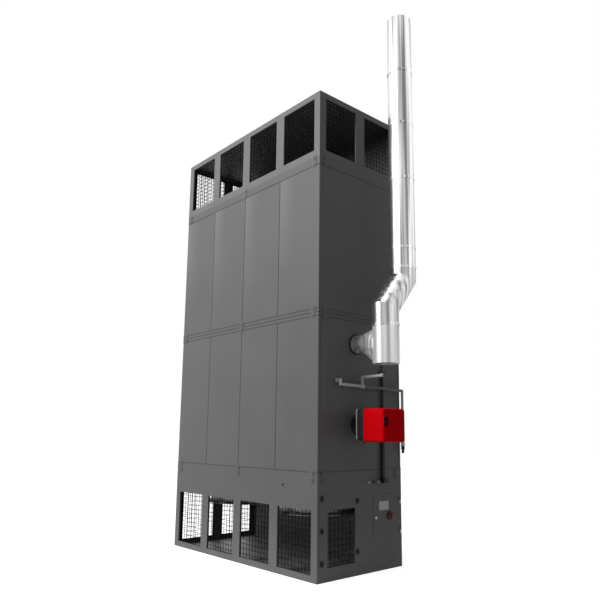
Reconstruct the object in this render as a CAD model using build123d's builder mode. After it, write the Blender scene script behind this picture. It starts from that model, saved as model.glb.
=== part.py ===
"""Air rotation heater: a tall floor-standing cabinet that draws air in at floor level, lifts it with two
axial fans past an oil-fired heat exchanger and lets it out again under its roof.

Millimetres, +Z up. The origin is the centre of the floor plate's underside. +X is the burner end and -Y is
the front. The cabinet is four sections bolted one on another: base, lower tier, upper tier and outlet.
"""

import math
import os

from build123d import *

os.makedirs("parts", exist_ok=True)

# Cabinet
WIDTH = 2560.0
DEPTH = 1170.0
BASE_HEIGHT = 930.0
TIER_HEIGHT = 1560.0
OUTLET_HEIGHT = 750.0
SHEET = 2.0
FLOOR_PLATE = 3.0
FOLD_RADIUS = 6.0
PANEL_RETURN = 25.0
PANEL_GAP = 3.0
RAIL_HEIGHT = 45.0
RAIL_FLANGE = 38.0
CORNER_RETURN = 30.0
ROOF_HEM = 24.0
EDGE_FIT = 1.0

# Windows of the base and of the outlet, and their wire guards
BAYS = 4
END_BAYS = 2
CORNER_POST = 85.0
MULLION = 130.0
WINDOW_HEIGHT = 570.0
BASE_SILL = 60.0
OUTLET_BORDER = 60.0
WINDOW_LIP = 15.0
GUARD_PITCH = 50.0
GUARD_WIRE = 4.0
GUARD_BAR = 16.0
GUARD_OVERLAP = 12.0

# Clearances
RUNNING_FIT = 0.1
LOOSE_FIT = 0.3
DOOR_FIT = 3.0

# Anchor holes and the grommet hole of the front
ANCHOR_RADIUS = 7.0
ANCHOR_INSET = 80.0
GROMMET_RADIUS = 12.0
GROMMET_X = 773.0
GROMMET_Z = 836.0

# Joint plates over the seams
JOINT_PLATE_WIDTH = 56.0
JOINT_PLATE_HEIGHT = 110.0
JOINT_PLATE = 4.0
JOINT_PLATE_INSET = 78.0
BOLT_ACROSS = 19.0
BOLT_HEAD = 8.0
BOLT_REACH = 32.0

# Service panel in the front half of the burner end
SERVICE_FRONT = -560.0
SERVICE_REAR = -35.0
SERVICE_LOW = 100.0
SERVICE_HIGH = 775.0
SERVICE_WINDOW_Y = -275.0
SERVICE_WINDOW_WIDTH = 364.0
SERVICE_WINDOW_LOW = 120.0
SERVICE_WINDOW_HEIGHT = 508.0
SERVICE_LIP = 12.0
SERVICE_HOLE_MARGIN = 8.0
FIXING_WIDTH = 38.0
FIXING_HEIGHT = 56.0
FIXING_DEPTH = 9.0
FIXING_STEM = 5.0
FIXING_STEM_LENGTH = 14.0
FIXING_GRIP = 10.0
FRONT_FIXINGS_Y = -528.0
FRONT_FIXINGS_Z = (164.0, 448.0, 737.0)
REAR_FIXINGS_Y = -67.0
REAR_FIXINGS_Z = (218.0, 690.0)

# Control compartment in the rear half of the burner end
DOOR_FRONT = 160.0
DOOR_REAR = 550.0
DOOR_LOW = 285.0
DOOR_HIGH = 730.0
DOOR_LAP = 12.0
DOOR_RETURN = 14.0
DOOR_STANDOFF = 0.5
ENCLOSURE_DEPTH = 160.0
ENCLOSURE_MARGIN = 10.0
HINGE_OUT = 8.0
HINGE_BEHIND = 6.0
HINGE_RADIUS = 6.0
HINGE_PIN = 3.0
HINGE_LENGTH = 60.0
HINGE_INSET = 75.0
HINGE_LEAF = 24.0
LOCK_INSET = 35.0
LOCK_RADIUS = 8.0
LOCK_HEAD_RADIUS = 14.0
LOCK_HEAD = 6.0
LOCK_DEPTH = 22.0
CAM_LENGTH = 34.0
CAM_WIDTH = 14.0
CAM_THICKNESS = 3.0
ISOLATOR_Y = 400.0
ISOLATOR_Z = 516.0
ISOLATOR_BEZEL = 45.0
ISOLATOR_BEZEL_DEPTH = 6.0
ISOLATOR_NECK = 12.0
ISOLATOR_BODY = 58.0
ISOLATOR_BODY_DEPTH = 60.0
KNOB_RADIUS = 27.0
KNOB_BASE = 8.0
KNOB_GRIP = 20.0
KNOB_GRIP_WIDTH = 13.0
KNOB_GRIP_LENGTH = 48.0
KNOB_STEM = 5.0
GEAR_PLATE = 3.0
GEAR_MARGIN = 22.0
GEAR_ROW_LOW = 70.0
GEAR_ROW_HIGH = 250.0
DIN_RAIL_HEIGHT = 35.0
DIN_RAIL = 7.0
CONTACTOR_WIDTH = 54.0
CONTACTOR_HEIGHT = 82.0
CONTACTOR_DEPTH = 70.0
CONTACTOR_PITCH = 72.0
CONTACTORS = 3
TERMINAL_WIDTH = 8.0
TERMINAL_HEIGHT = 52.0
TERMINAL_DEPTH = 40.0
TERMINAL_PITCH = 12.0
TERMINALS = 16

# Fans
FAN_X = 620.0
DECK = 4.0
CASING_RADIUS = 432.0
CASING_WALL = 3.0
CASING_FLANGE = 38.0
CASING_LENGTH = 300.0
BELL_RADIUS = 50.0
BELL_STEPS = 3
SPIDER_DROP = 160.0
SPIDER_THICKNESS = 8.0
SPIDER_RADIUS = 118.0
SPIDER_BORE = 30.0
SPIDER_ARMS = 4
SPIDER_ARM_WIDTH = 32.0
MOTOR_RADIUS = 96.0
MOTOR_LENGTH = 165.0
MOTOR_RIBS = 12
MOTOR_RIB_HEIGHT = 14.0
MOTOR_RIB_WIDTH = 5.0
MOTOR_END_BELL = 26.0
SHAFT_RADIUS = 14.0
SHAFT_IN_MOTOR = 80.0
SHAFT_IN_HUB = 90.0
HUB_RADIUS = 105.0
HUB_HEIGHT = 92.0
HUB_NOSE = 14.0
HUB_CLEARANCE = 18.0
BLADES = 6
TIP_CLEARANCE = 8.0
ROOT_CHORD = 150.0
ROOT_PITCH = 42.0
TIP_CHORD = 185.0
TIP_PITCH = 21.0
BLADE_CAMBER = 0.09
BLADE_THICKNESS = 9.0
BLADE_EDGE = 3.0
BLADE_STEPS = 4
ROOT_SINK = 25.0

# Heat exchanger
BURNER_Y = -50.0
BURNER_Z = 1410.0
DRUM_RADIUS = 300.0
DRUM_WALL = 4.0
DRUM_SETBACK = 100.0
DRUM_REAR_SETBACK = 330.0
REVERSAL_DEPTH = 200.0
BOX_WIDTH = 600.0
BOX_WALL = 4.0
BOX_TOP_Z = 2420.0
SMOKE_BOX_LOW_Z = 1800.0
SMOKE_BOX_SETBACK = 130.0
SMOKE_BOX_DEPTH = 150.0
TUBE_RADIUS = 76.0
TUBE_WALL = 3.0
TUBE_ROWS = 2
TUBES_IN_ROW = 3
TUBE_PITCH_Y = 185.0
TUBE_PITCH_Z = 200.0
TUBE_LOW_Z = 1960.0
CRADLE_X = 700.0
CRADLE_WIDTH = 60.0
CRADLE_BEAM = 90.0
SADDLE_PLATE = 10.0
SADDLE_WIDTH = 420.0
SADDLE_RISE = 90.0

# Burner
COLLAR_RADIUS = 94.0
COLLAR_WALL = 6.0
COLLAR_LENGTH = 125.0
COLLAR_RIM = 8.0
COLLAR_RIM_THICKNESS = 6.0
FLANGE_WIDTH = 310.0
FLANGE_HEIGHT = 290.0
FLANGE_THICKNESS = 8.0
FLANGE_CORNER = 20.0
FLANGE_RISE = 10.0
BLAST_RADIUS = 80.0
BLAST_WALL = 4.0
BLAST_REACH = 120.0
BLAST_HEAD = 26.0
BODY_DEPTH = 88.0
BODY_WIDTH = 290.0
BODY_HEIGHT = 303.0
BODY_CORNER = 30.0
BODY_WALL = 12.0
BODY_Z = 1413.0
FAN_CAVITY_RADIUS = 84.0
WHEEL_Y = 5.0
WHEEL_Z = 1362.0
WHEEL_RADIUS = 74.0
WHEEL_WIDTH = 58.0
WHEEL_PLATE = 3.0
WHEEL_BLADES = 16
WHEEL_BLADE = 3.0
WHEEL_BLADE_DEPTH = 18.0
WHEEL_HUB = 14.0
WHEEL_SHAFT = 6.0
WHEEL_SHAFT_OUT = 70.0
BURNER_MOTOR_RADIUS = 55.0
BURNER_MOTOR_LENGTH = 140.0
BURNER_MOTOR_FLANGE = 92.0
BURNER_MOTOR_PLATE = 8.0
BURNER_MOTOR_BELL = 12.0
INLET_LENGTH = 84.0
INLET_DEPTH = 50.0
DAMPER_LAP = 4.0
DAMPER_THICKNESS = 3.0
DAMPER_PIVOT = 3.0
DAMPER_EAR = 8.0
FUEL_STUB_RADIUS = 8.0
FUEL_STUB_LENGTH = 28.0
FUEL_STUB_Y = -150.0
COVER_DEPTH = 260.0
COVER_WIDTH = 310.0
COVER_HEIGHT = 315.0
COVER_WALL = 3.0
COVER_EDGE = 26.0
COVER_INNER_CHAMFER = 16.0
COVER_Z = 1407.5
POCKET_Y = -172.0
POCKET_Z = 1440.0
POCKET_WIDTH = 52.0
POCKET_HEIGHT = 86.0
POCKET_DEPTH = 15.0
BUTTON_RADIUS = 10.0
BUTTON_RIM = 3.0
BUTTON_RIM_DEPTH = 5.0
BUTTON_PROUD = 9.0

# Flue
FLUE_Y = -70.0
FLUE_OUT = 400.0
FLUE_RADIUS = 130.0
FLUE_BORE = 123.0
SPIGOT_RADIUS = 88.0
SPIGOT_WALL = 4.0
SPIGOT_Z = 2215.0
SPIGOT_OUT = 105.0
WALL_COLLAR_RADIUS = 106.0
WALL_COLLAR = 10.0
BOOT_OUT = 275.0
BOOT_HALF_WIDTH = 116.0
BOOT_HALF_HEIGHT = 178.0
BOOT_FOLDS = 16
TEE_LOW_Z = 1990.0
TEE_HEIGHT = 375.0
TEE_BASE = 6.0
DRAIN_INSET = 80.0
DRAIN_SPOUT = 17.0
DRAIN_SPOUT_LENGTH = 62.0
LOWER_MITRE_Z = 2530.0
UPPER_MITRE_Z = 2860.0
FLUE_OFFSET = 270.0
ELBOW_STUB = 75.0
UPPER_ELBOW_TOP_Z = 2975.0
FLUE_JOINTS_Z = (3180.0, 3920.0, 4520.0, 5120.0)
FLUE_TOP_Z = 5750.0
FLUE_END_RADIUS = 128.0
FLUE_END = 60.0
BAND_HEIGHT = 26.0
BAND_THICKNESS = 5.0
BAND_LUG = 16.0

# Condensate drain
DRAIN_RADIUS = 14.0
DRAIN_STANDOFF = 55.0
DRAIN_WALL_Y = -345.0
DRAIN_WALL_Z = 1842.0
DRAIN_DROP = 41.0
DRAIN_CORNER_Y = 562.0
DRAIN_FALL = 23.0
DRAIN_FOOT_Z = 1250.0
BRANCH_Y = -45.0
BRANCH_Z = 1886.0
FITTING_RADIUS = 18.0
FITTING_LENGTH = 26.0
TRAP_RADIUS = 21.0
TRAP_HEIGHT = 82.0
TRAP_CAP = 45.0
TRAP_OUTLET = 36.0

# Cable conduit on the burner end
CONDUIT_Y = 290.0
CONDUIT_RADIUS = 21.0
CONDUIT_THIN_RADIUS = 13.0
CONDUIT_LOW_Z = 885.0
CONDUIT_STEP_Z = 1245.0
CONDUIT_TOP_Z = 1955.0
ENTRY_BOX_WIDTH = 64.0
ENTRY_BOX_HEIGHT = 42.0
SADDLE_CLIPS_Z = (1040.0, 1190.0, 1600.0, 1870.0)
CLIP_WIDTH = 14.0
GLANDS_Y = (93.0, 165.0, 232.0)
GLAND_Z = 855.0
GLAND_RADIUS = 12.0
GLAND_LENGTH = 20.0

# Levels and places worked out from the sizes above
HALF_X = WIDTH / 2
HALF_Y = DEPTH / 2
TIER_LOW_Z = BASE_HEIGHT
TIER_MID_Z = TIER_LOW_Z + TIER_HEIGHT
TIER_TOP_Z = TIER_MID_Z + TIER_HEIGHT
ROOF_Z = TIER_TOP_Z + OUTLET_HEIGHT
BASE_WALL_TOP = BASE_HEIGHT - RAIL_HEIGHT
OUTLET_WALL_LOW = TIER_TOP_Z + RAIL_HEIGHT
OUTLET_WALL_TOP = ROOF_Z - SHEET
BASE_WINDOW_Z = BASE_SILL + WINDOW_HEIGHT / 2
OUTLET_WINDOW_Z = ROOF_Z - OUTLET_BORDER - WINDOW_HEIGHT / 2
WINDOW_WIDTH = (WIDTH - 2 * CORNER_POST - (BAYS - 1) * MULLION) / BAYS
END_WINDOW_WIDTH = (DEPTH - 2 * CORNER_POST - (END_BAYS - 1) * MULLION) / END_BAYS
DECK_LOW = BASE_WALL_TOP + SHEET
FAN_PLACES = {"left": -FAN_X, "right": FAN_X}
SPIDER_LOW = DECK_LOW - SPIDER_DROP
HUB_LOW = SPIDER_LOW + SPIDER_THICKNESS + HUB_CLEARANCE
SERVICE_WINDOW_Z = SERVICE_WINDOW_LOW + SERVICE_WINDOW_HEIGHT / 2
DOOR_Y = (DOOR_FRONT + DOOR_REAR) / 2
DOOR_Z = (DOOR_LOW + DOOR_HIGH) / 2
DOOR_WIDTH = DOOR_REAR - DOOR_FRONT
DOOR_HEIGHT = DOOR_HIGH - DOOR_LOW
DOOR_BACK_X = HALF_X + DOOR_STANDOFF
DOOR_FACE_X = DOOR_BACK_X + SHEET
HINGE_X = HALF_X + HINGE_OUT
HINGE_Y = DOOR_REAR + HINGE_BEHIND
HINGES_Z = (DOOR_LOW + HINGE_INSET, DOOR_HIGH - HINGE_INSET)
LOCK_Y = DOOR_FRONT + LOCK_INSET
ENCLOSURE_BACK_X = HALF_X - SHEET - ENCLOSURE_DEPTH
FLANGE_X = HALF_X + COLLAR_LENGTH
BODY_X = FLANGE_X + FLANGE_THICKNESS
COVER_X = BODY_X + BODY_DEPTH
COVER_FACE_X = COVER_X + COVER_DEPTH
BODY_UNDERSIDE = BODY_Z - BODY_HEIGHT / 2
INLET_X = BODY_X + BODY_DEPTH / 2
DAMPER_PIVOT_X = INLET_X - INLET_DEPTH / 2 - DAMPER_LAP
DAMPER_PIVOT_Z = BODY_UNDERSIDE - DAMPER_PIVOT - LOOSE_FIT
FLUE_X = HALF_X + FLUE_OUT
TEE_TOP_Z = TEE_LOW_Z + TEE_HEIGHT
STACK_Y = FLUE_Y + FLUE_OFFSET
DRAIN_X = FLUE_X - DRAIN_INSET
DRUM_FRONT_X = HALF_X - DRUM_SETBACK
DRUM_REAR_X = DRUM_REAR_SETBACK - HALF_X
SMOKE_BOX_FRONT_X = HALF_X - SMOKE_BOX_SETBACK
TUBE_FRONT_X = SMOKE_BOX_FRONT_X - SMOKE_BOX_DEPTH
DRAIN_PIPE_X = HALF_X + DRAIN_STANDOFF
DRAIN_RUN_Z = DRAIN_WALL_Z - DRAIN_DROP
DRAIN_CORNER_Z = DRAIN_RUN_Z - DRAIN_FALL
CONDUIT_X = HALF_X + CONDUIT_RADIUS
SEAMS_Z = (TIER_LOW_Z, TIER_MID_Z, TIER_TOP_Z)

AROUND = {
    "front": (Vector(1, 0, 0), Vector(0, -1, 0), HALF_Y),
    "right": (Vector(0, 1, 0), Vector(1, 0, 0), HALF_X),
    "back": (Vector(-1, 0, 0), Vector(0, 1, 0), HALF_Y),
    "left": (Vector(0, -1, 0), Vector(-1, 0, 0), HALF_X),
}
LONG_SIDES = ("front", "back")
PIECES = {}


def upright(side, inset=0.0):
    """The plane of one side's outer face, moved in by inset: local x runs along the side, local y is up."""
    along, outward, reach = AROUND[side]
    return Plane(origin=outward * (reach - inset), x_dir=along, z_dir=outward)


def level(side, height):
    """A level plane whose local x runs along a side and whose local -y points out of that side."""
    return Plane(origin=(0, 0, height), x_dir=AROUND[side][0], z_dir=(0, 0, 1))


def across(x):
    """The plane square to X at x: local x is +Y and local y is +Z."""
    return Plane(origin=(x, 0, 0), x_dir=(0, 1, 0), z_dir=(1, 0, 0))


def group(solids):
    """Like pieces that lie against each other, kept as separate solids of one node."""
    return Compound([solid for piece in solids for solid in piece.solids()])


def spread(count, pitch):
    """Evenly pitched places about zero."""
    return [(i - (count - 1) / 2) * pitch for i in range(count)]


def wall_sheet(side, half_span, low, high, windows=(), return_range=None):
    """One side of the base or outlet: a sheet with window edges folded in, and ends folded behind corners."""
    reach = AROUND[side][2]
    with BuildPart() as wall:
        with BuildSketch(upright(side, SHEET)):
            with Locations((0, (low + high) / 2)):
                Rectangle(2 * half_span, high - low)
            for x, z, width, height in windows:
                with Locations((x, z)):
                    Rectangle(width, height, mode=Mode.SUBTRACT)
        extrude(amount=SHEET)
        if windows:
            with BuildSketch(upright(side, SHEET)):
                for x, z, width, height in windows:
                    with Locations((x, z)):
                        Rectangle(width + 2 * SHEET, height + 2 * SHEET)
                        Rectangle(width, height, mode=Mode.SUBTRACT)
            extrude(amount=-WINDOW_LIP)
        if return_range:
            with BuildSketch(level(side, return_range[0])):
                for x in (SHEET / 2 - half_span, half_span - SHEET / 2):
                    with Locations((x, SHEET + CORNER_RETURN / 2 - reach)):
                        Rectangle(SHEET, CORNER_RETURN)
            extrude(amount=return_range[1] - return_range[0])
    return wall.part


def pan(side, centre, width, low, high):
    """A casing panel: a sheet whose two upright edges are rounded and folded inwards."""
    reach = AROUND[side][2]
    with BuildPart() as folded:
        with BuildSketch(level(side, low)):
            with Locations((centre, PANEL_RETURN - reach)):
                RectangleRounded(width, 2 * PANEL_RETURN, FOLD_RADIUS)
                RectangleRounded(
                    width - 2 * SHEET, 2 * PANEL_RETURN - 2 * SHEET, FOLD_RADIUS - SHEET, mode=Mode.SUBTRACT
                )
            with Locations((centre, PANEL_RETURN + PANEL_RETURN / 2 - reach)):
                Rectangle(width, PANEL_RETURN, mode=Mode.SUBTRACT)
        extrude(amount=high - low)
    return folded.part


def rail(side, low):
    """One bar of a section ring: a channel that opens inwards."""
    reach = AROUND[side][2]
    long_side = side in LONG_SIDES
    web_half = HALF_X if long_side else HALF_Y - SHEET
    flange_half = HALF_X - SHEET if long_side else HALF_Y - RAIL_FLANGE - EDGE_FIT
    with BuildPart() as bar:
        with BuildSketch(upright(side, SHEET)):
            with Locations((0, low + RAIL_HEIGHT / 2)):
                Rectangle(2 * web_half, RAIL_HEIGHT)
        extrude(amount=SHEET)
        for flange_z in (low, low + RAIL_HEIGHT - SHEET):
            with BuildSketch(level(side, flange_z)):
                with Locations((0, (SHEET + RAIL_FLANGE) / 2 - reach)):
                    Rectangle(2 * flange_half, RAIL_FLANGE - SHEET)
            extrude(amount=SHEET)
    return bar.part


def bar_on(plane, x, y, width, height, depth):
    """A straight bar of rectangular section laid on a plane."""
    with BuildPart() as bar:
        with BuildSketch(plane):
            with Locations((x, y)):
                Rectangle(width, height)
        extrude(amount=-depth)
    return bar.part


def guard(side, x, z, width, height, inset):
    """A welded wire guard: a flat bar frame, upright wires against it and level wires against those."""
    bars = []
    front = upright(side, inset)
    outer_width = width + 2 * GUARD_OVERLAP
    outer_height = height + 2 * GUARD_OVERLAP
    for sign in (-1, 1):
        edge_x = x + sign * (outer_width - GUARD_BAR) / 2
        edge_z = z + sign * (outer_height - GUARD_BAR) / 2
        bars.append(bar_on(front, edge_x, z, GUARD_BAR, outer_height, GUARD_WIRE))
        bars.append(bar_on(front, x, edge_z, outer_width - 2 * GUARD_BAR, GUARD_BAR, GUARD_WIRE))
    uprights = upright(side, inset + GUARD_WIRE)
    levels = upright(side, inset + 2 * GUARD_WIRE)
    for offset in spread(int(width // GUARD_PITCH) - 1, GUARD_PITCH):
        bars.append(bar_on(uprights, x + offset, z, GUARD_WIRE, outer_height, GUARD_WIRE))
    for offset in spread(int(height // GUARD_PITCH), GUARD_PITCH):
        bars.append(bar_on(levels, x, z + offset, outer_width, GUARD_WIRE, GUARD_WIRE))
    return bars


def tube_up(x, y, low, high, radius, bore):
    """An upright round tube."""
    with BuildPart() as tube:
        with BuildSketch(Plane.XY.offset(low)):
            with Locations((x, y)):
                Circle(radius)
                Circle(bore, mode=Mode.SUBTRACT)
        extrude(amount=high - low)
    return tube.part


# Base: floor plate and four walls
window_xs = spread(BAYS, WINDOW_WIDTH + MULLION)
end_window_xs = spread(END_BAYS, END_WINDOW_WIDTH + MULLION)
base_front_windows = [(x, BASE_WINDOW_Z, WINDOW_WIDTH, WINDOW_HEIGHT) for x in window_xs]
base_end_windows = [(x, BASE_WINDOW_Z, END_WINDOW_WIDTH, WINDOW_HEIGHT) for x in end_window_xs]
END_SPAN = HALF_Y - SHEET
BASE_RETURNS = (FLOOR_PLATE, BASE_WALL_TOP)

with BuildPart() as floor_plate:
    with BuildSketch():
        Rectangle(WIDTH - 2 * SHEET, DEPTH - 2 * SHEET)
        with GridLocations(WIDTH - 2 * ANCHOR_INSET, DEPTH - 2 * ANCHOR_INSET, 2, 2):
            Circle(ANCHOR_RADIUS, mode=Mode.SUBTRACT)
    extrude(amount=FLOOR_PLATE)
PIECES["floor_plate"] = floor_plate.part

with BuildPart() as base_front_frame:
    add(wall_sheet("front", HALF_X, 0, BASE_WALL_TOP, base_front_windows))
    with BuildSketch(upright("front")):
        with Locations((GROMMET_X, GROMMET_Z)):
            Circle(GROMMET_RADIUS)
    extrude(amount=-SHEET, mode=Mode.SUBTRACT)
PIECES["base_front_frame"] = base_front_frame.part

PIECES["base_left_frame"] = wall_sheet(
    "left", END_SPAN, 0, BASE_WALL_TOP, base_end_windows, BASE_RETURNS
)
PIECES["base_back_panel"] = wall_sheet("back", HALF_X, 0, BASE_WALL_TOP)

fixing_places = [(FRONT_FIXINGS_Y, z) for z in FRONT_FIXINGS_Z]
fixing_places += [(REAR_FIXINGS_Y, z) for z in REAR_FIXINGS_Z]

with BuildPart() as base_right_frame:
    add(wall_sheet("right", END_SPAN, 0, BASE_WALL_TOP, (), BASE_RETURNS))
    with BuildSketch(upright("right")):
        with Locations((SERVICE_WINDOW_Y, SERVICE_WINDOW_Z)):
            Rectangle(
                SERVICE_WINDOW_WIDTH + 2 * SERVICE_HOLE_MARGIN, SERVICE_WINDOW_HEIGHT + 2 * SERVICE_HOLE_MARGIN
            )
        with Locations((DOOR_Y, DOOR_Z)):
            Rectangle(DOOR_WIDTH - 2 * DOOR_LAP, DOOR_HEIGHT - 2 * DOOR_LAP)
        with Locations(*fixing_places):
            Circle(FIXING_STEM + LOOSE_FIT)
    extrude(amount=-SHEET, mode=Mode.SUBTRACT)
PIECES["base_right_frame"] = base_right_frame.part

# Service panel with its guard window and oval quarter-turn fixings
with BuildPart() as service_panel:
    with BuildSketch(across(HALF_X)):
        with Locations(((SERVICE_FRONT + SERVICE_REAR) / 2, (SERVICE_LOW + SERVICE_HIGH) / 2)):
            Rectangle(SERVICE_REAR - SERVICE_FRONT, SERVICE_HIGH - SERVICE_LOW)
        with Locations((SERVICE_WINDOW_Y, SERVICE_WINDOW_Z)):
            Rectangle(SERVICE_WINDOW_WIDTH, SERVICE_WINDOW_HEIGHT, mode=Mode.SUBTRACT)
        with Locations(*fixing_places):
            Circle(FIXING_STEM + LOOSE_FIT, mode=Mode.SUBTRACT)
    extrude(amount=SHEET)
    with BuildSketch(across(HALF_X)):
        with Locations((SERVICE_WINDOW_Y, SERVICE_WINDOW_Z)):
            Rectangle(SERVICE_WINDOW_WIDTH + 2 * SHEET, SERVICE_WINDOW_HEIGHT + 2 * SHEET)
            Rectangle(SERVICE_WINDOW_WIDTH, SERVICE_WINDOW_HEIGHT, mode=Mode.SUBTRACT)
    extrude(amount=-SERVICE_LIP)
PIECES["service_panel"] = service_panel.part

with BuildPart() as service_fixings:
    with BuildSketch(across(HALF_X + SHEET)):
        with Locations(*fixing_places):
            Ellipse(FIXING_WIDTH / 2, FIXING_HEIGHT / 2)
    extrude(amount=FIXING_DEPTH)
    with BuildSketch(across(HALF_X + SHEET + FIXING_DEPTH)):
        with Locations(*fixing_places):
            Rectangle(FIXING_GRIP / 2, FIXING_HEIGHT / 2)
    extrude(amount=FIXING_GRIP)
    with BuildSketch(across(HALF_X + SHEET)):
        with Locations(*fixing_places):
            Circle(FIXING_STEM)
    extrude(amount=-FIXING_STEM_LENGTH)
PIECES["service_fixings"] = service_fixings.part

# Wire guards behind the windows
guard_inset = SHEET + WINDOW_LIP
inlet_bars = []
for x in window_xs:
    inlet_bars += guard("front", x, BASE_WINDOW_Z, WINDOW_WIDTH, WINDOW_HEIGHT, guard_inset)
for x in end_window_xs:
    inlet_bars += guard("left", x, BASE_WINDOW_Z, END_WINDOW_WIDTH, WINDOW_HEIGHT, guard_inset)
inlet_bars += guard(
    "right", SERVICE_WINDOW_Y, SERVICE_WINDOW_Z, SERVICE_WINDOW_WIDTH, SERVICE_WINDOW_HEIGHT, SERVICE_LIP
)
PIECES["inlet_guards"] = group(inlet_bars)

outlet_bars = []
for x in window_xs:
    outlet_bars += guard("front", x, OUTLET_WINDOW_Z, WINDOW_WIDTH, WINDOW_HEIGHT, guard_inset)
for side in ("left", "right"):
    for x in end_window_xs:
        outlet_bars += guard(side, x, OUTLET_WINDOW_Z, END_WINDOW_WIDTH, WINDOW_HEIGHT, guard_inset)
PIECES["outlet_guards"] = group(outlet_bars)

# Control compartment
enclosure_width = DOOR_WIDTH + 2 * ENCLOSURE_MARGIN
enclosure_height = DOOR_HEIGHT + 2 * ENCLOSURE_MARGIN
with BuildPart() as control_enclosure:
    with BuildSketch(across(ENCLOSURE_BACK_X)):
        with Locations((DOOR_Y, DOOR_Z)):
            Rectangle(enclosure_width, enclosure_height)
    extrude(amount=ENCLOSURE_DEPTH)
    with BuildSketch(across(ENCLOSURE_BACK_X + SHEET)):
        with Locations((DOOR_Y, DOOR_Z)):
            Rectangle(enclosure_width - 2 * SHEET, enclosure_height - 2 * SHEET)
    extrude(amount=ENCLOSURE_DEPTH, mode=Mode.SUBTRACT)
PIECES["control_enclosure"] = control_enclosure.part

plate_back = ENCLOSURE_BACK_X + SHEET
plate_front = across(plate_back + GEAR_PLATE)
row_front = across(plate_back + GEAR_PLATE + DIN_RAIL)
plate_width = enclosure_width - 2 * GEAR_MARGIN
gear = [
    bar_on(plate_front, DOOR_Y, DOOR_Z, plate_width, enclosure_height - 2 * GEAR_MARGIN, GEAR_PLATE)
]
for row in (GEAR_ROW_LOW, GEAR_ROW_HIGH):
    gear.append(bar_on(row_front, DOOR_Y, DOOR_LOW + row, plate_width - GEAR_MARGIN, DIN_RAIL_HEIGHT, DIN_RAIL))
with BuildPart() as contactor:
    with BuildSketch(row_front):
        with Locations((DOOR_Y, DOOR_LOW + GEAR_ROW_HIGH)):
            Rectangle(CONTACTOR_WIDTH, CONTACTOR_HEIGHT)
    extrude(amount=CONTACTOR_DEPTH / 2)
    with BuildSketch(across(plate_back + GEAR_PLATE + DIN_RAIL + CONTACTOR_DEPTH / 2)):
        with Locations((DOOR_Y, DOOR_LOW + GEAR_ROW_HIGH)):
            Rectangle(CONTACTOR_WIDTH, CONTACTOR_HEIGHT / 2)
    extrude(amount=CONTACTOR_DEPTH / 2)
for offset in spread(CONTACTORS, CONTACTOR_PITCH):
    gear.append(contactor.part.moved(Location((0, offset, 0))))
terminal_face = across(plate_back + GEAR_PLATE + DIN_RAIL + TERMINAL_DEPTH)
for offset in spread(TERMINALS, TERMINAL_PITCH):
    gear.append(
        bar_on(
            terminal_face, DOOR_Y + offset, DOOR_LOW + GEAR_ROW_LOW, TERMINAL_WIDTH, TERMINAL_HEIGHT, TERMINAL_DEPTH
        )
    )
PIECES["control_gear"] = group(gear)

hinge_axis = Vector(HINGE_X, HINGE_Y, 0)
half_hinge = HINGE_LENGTH / 2
with BuildPart() as control_door:
    with BuildSketch(across(DOOR_BACK_X)):
        with Locations((DOOR_Y, DOOR_Z)):
            Rectangle(DOOR_WIDTH, DOOR_HEIGHT)
    extrude(amount=SHEET)
    with BuildSketch(across(DOOR_BACK_X)):
        with Locations((DOOR_Y, DOOR_Z)):
            Rectangle(DOOR_WIDTH - 2 * (DOOR_LAP + DOOR_FIT), DOOR_HEIGHT - 2 * (DOOR_LAP + DOOR_FIT))
            Rectangle(
                DOOR_WIDTH - 2 * (DOOR_LAP + DOOR_FIT + SHEET),
                DOOR_HEIGHT - 2 * (DOOR_LAP + DOOR_FIT + SHEET),
                mode=Mode.SUBTRACT,
            )
    extrude(amount=-DOOR_RETURN)
    with BuildSketch(across(DOOR_FACE_X)):
        with Locations((LOCK_Y, DOOR_Z)):
            Circle(LOCK_RADIUS + LOOSE_FIT)
        with Locations((ISOLATOR_Y, ISOLATOR_Z)):
            Circle(ISOLATOR_NECK + LOOSE_FIT)
    extrude(amount=-SHEET, mode=Mode.SUBTRACT)
    for hinge_z in HINGES_Z:
        with BuildSketch(Plane.XY.offset(hinge_z + LOOSE_FIT)):
            with Locations((HINGE_X, HINGE_Y)):
                Circle(HINGE_RADIUS)
            with Locations((DOOR_FACE_X + SHEET / 2, HINGE_Y - HINGE_LEAF / 2)):
                Rectangle(SHEET, HINGE_LEAF)
            with Locations((HINGE_X, HINGE_Y)):
                Circle(HINGE_PIN + RUNNING_FIT, mode=Mode.SUBTRACT)
        extrude(amount=half_hinge - LOOSE_FIT)
PIECES["control_door"] = control_door.part

with BuildPart() as door_hinges:
    for hinge_z in HINGES_Z:
        with BuildSketch(Plane.XY.offset(hinge_z - half_hinge)):
            with Locations((HINGE_X, HINGE_Y)):
                Circle(HINGE_RADIUS)
            with Locations((HALF_X + HINGE_PIN / 2, HINGE_Y + HINGE_LEAF / 2)):
                Rectangle(HINGE_PIN, HINGE_LEAF)
        extrude(amount=half_hinge)
        with BuildSketch(Plane.XY.offset(hinge_z)):
            with Locations((HINGE_X, HINGE_Y)):
                Circle(HINGE_PIN)
        extrude(amount=half_hinge)
PIECES["door_hinges"] = door_hinges.part

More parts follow.
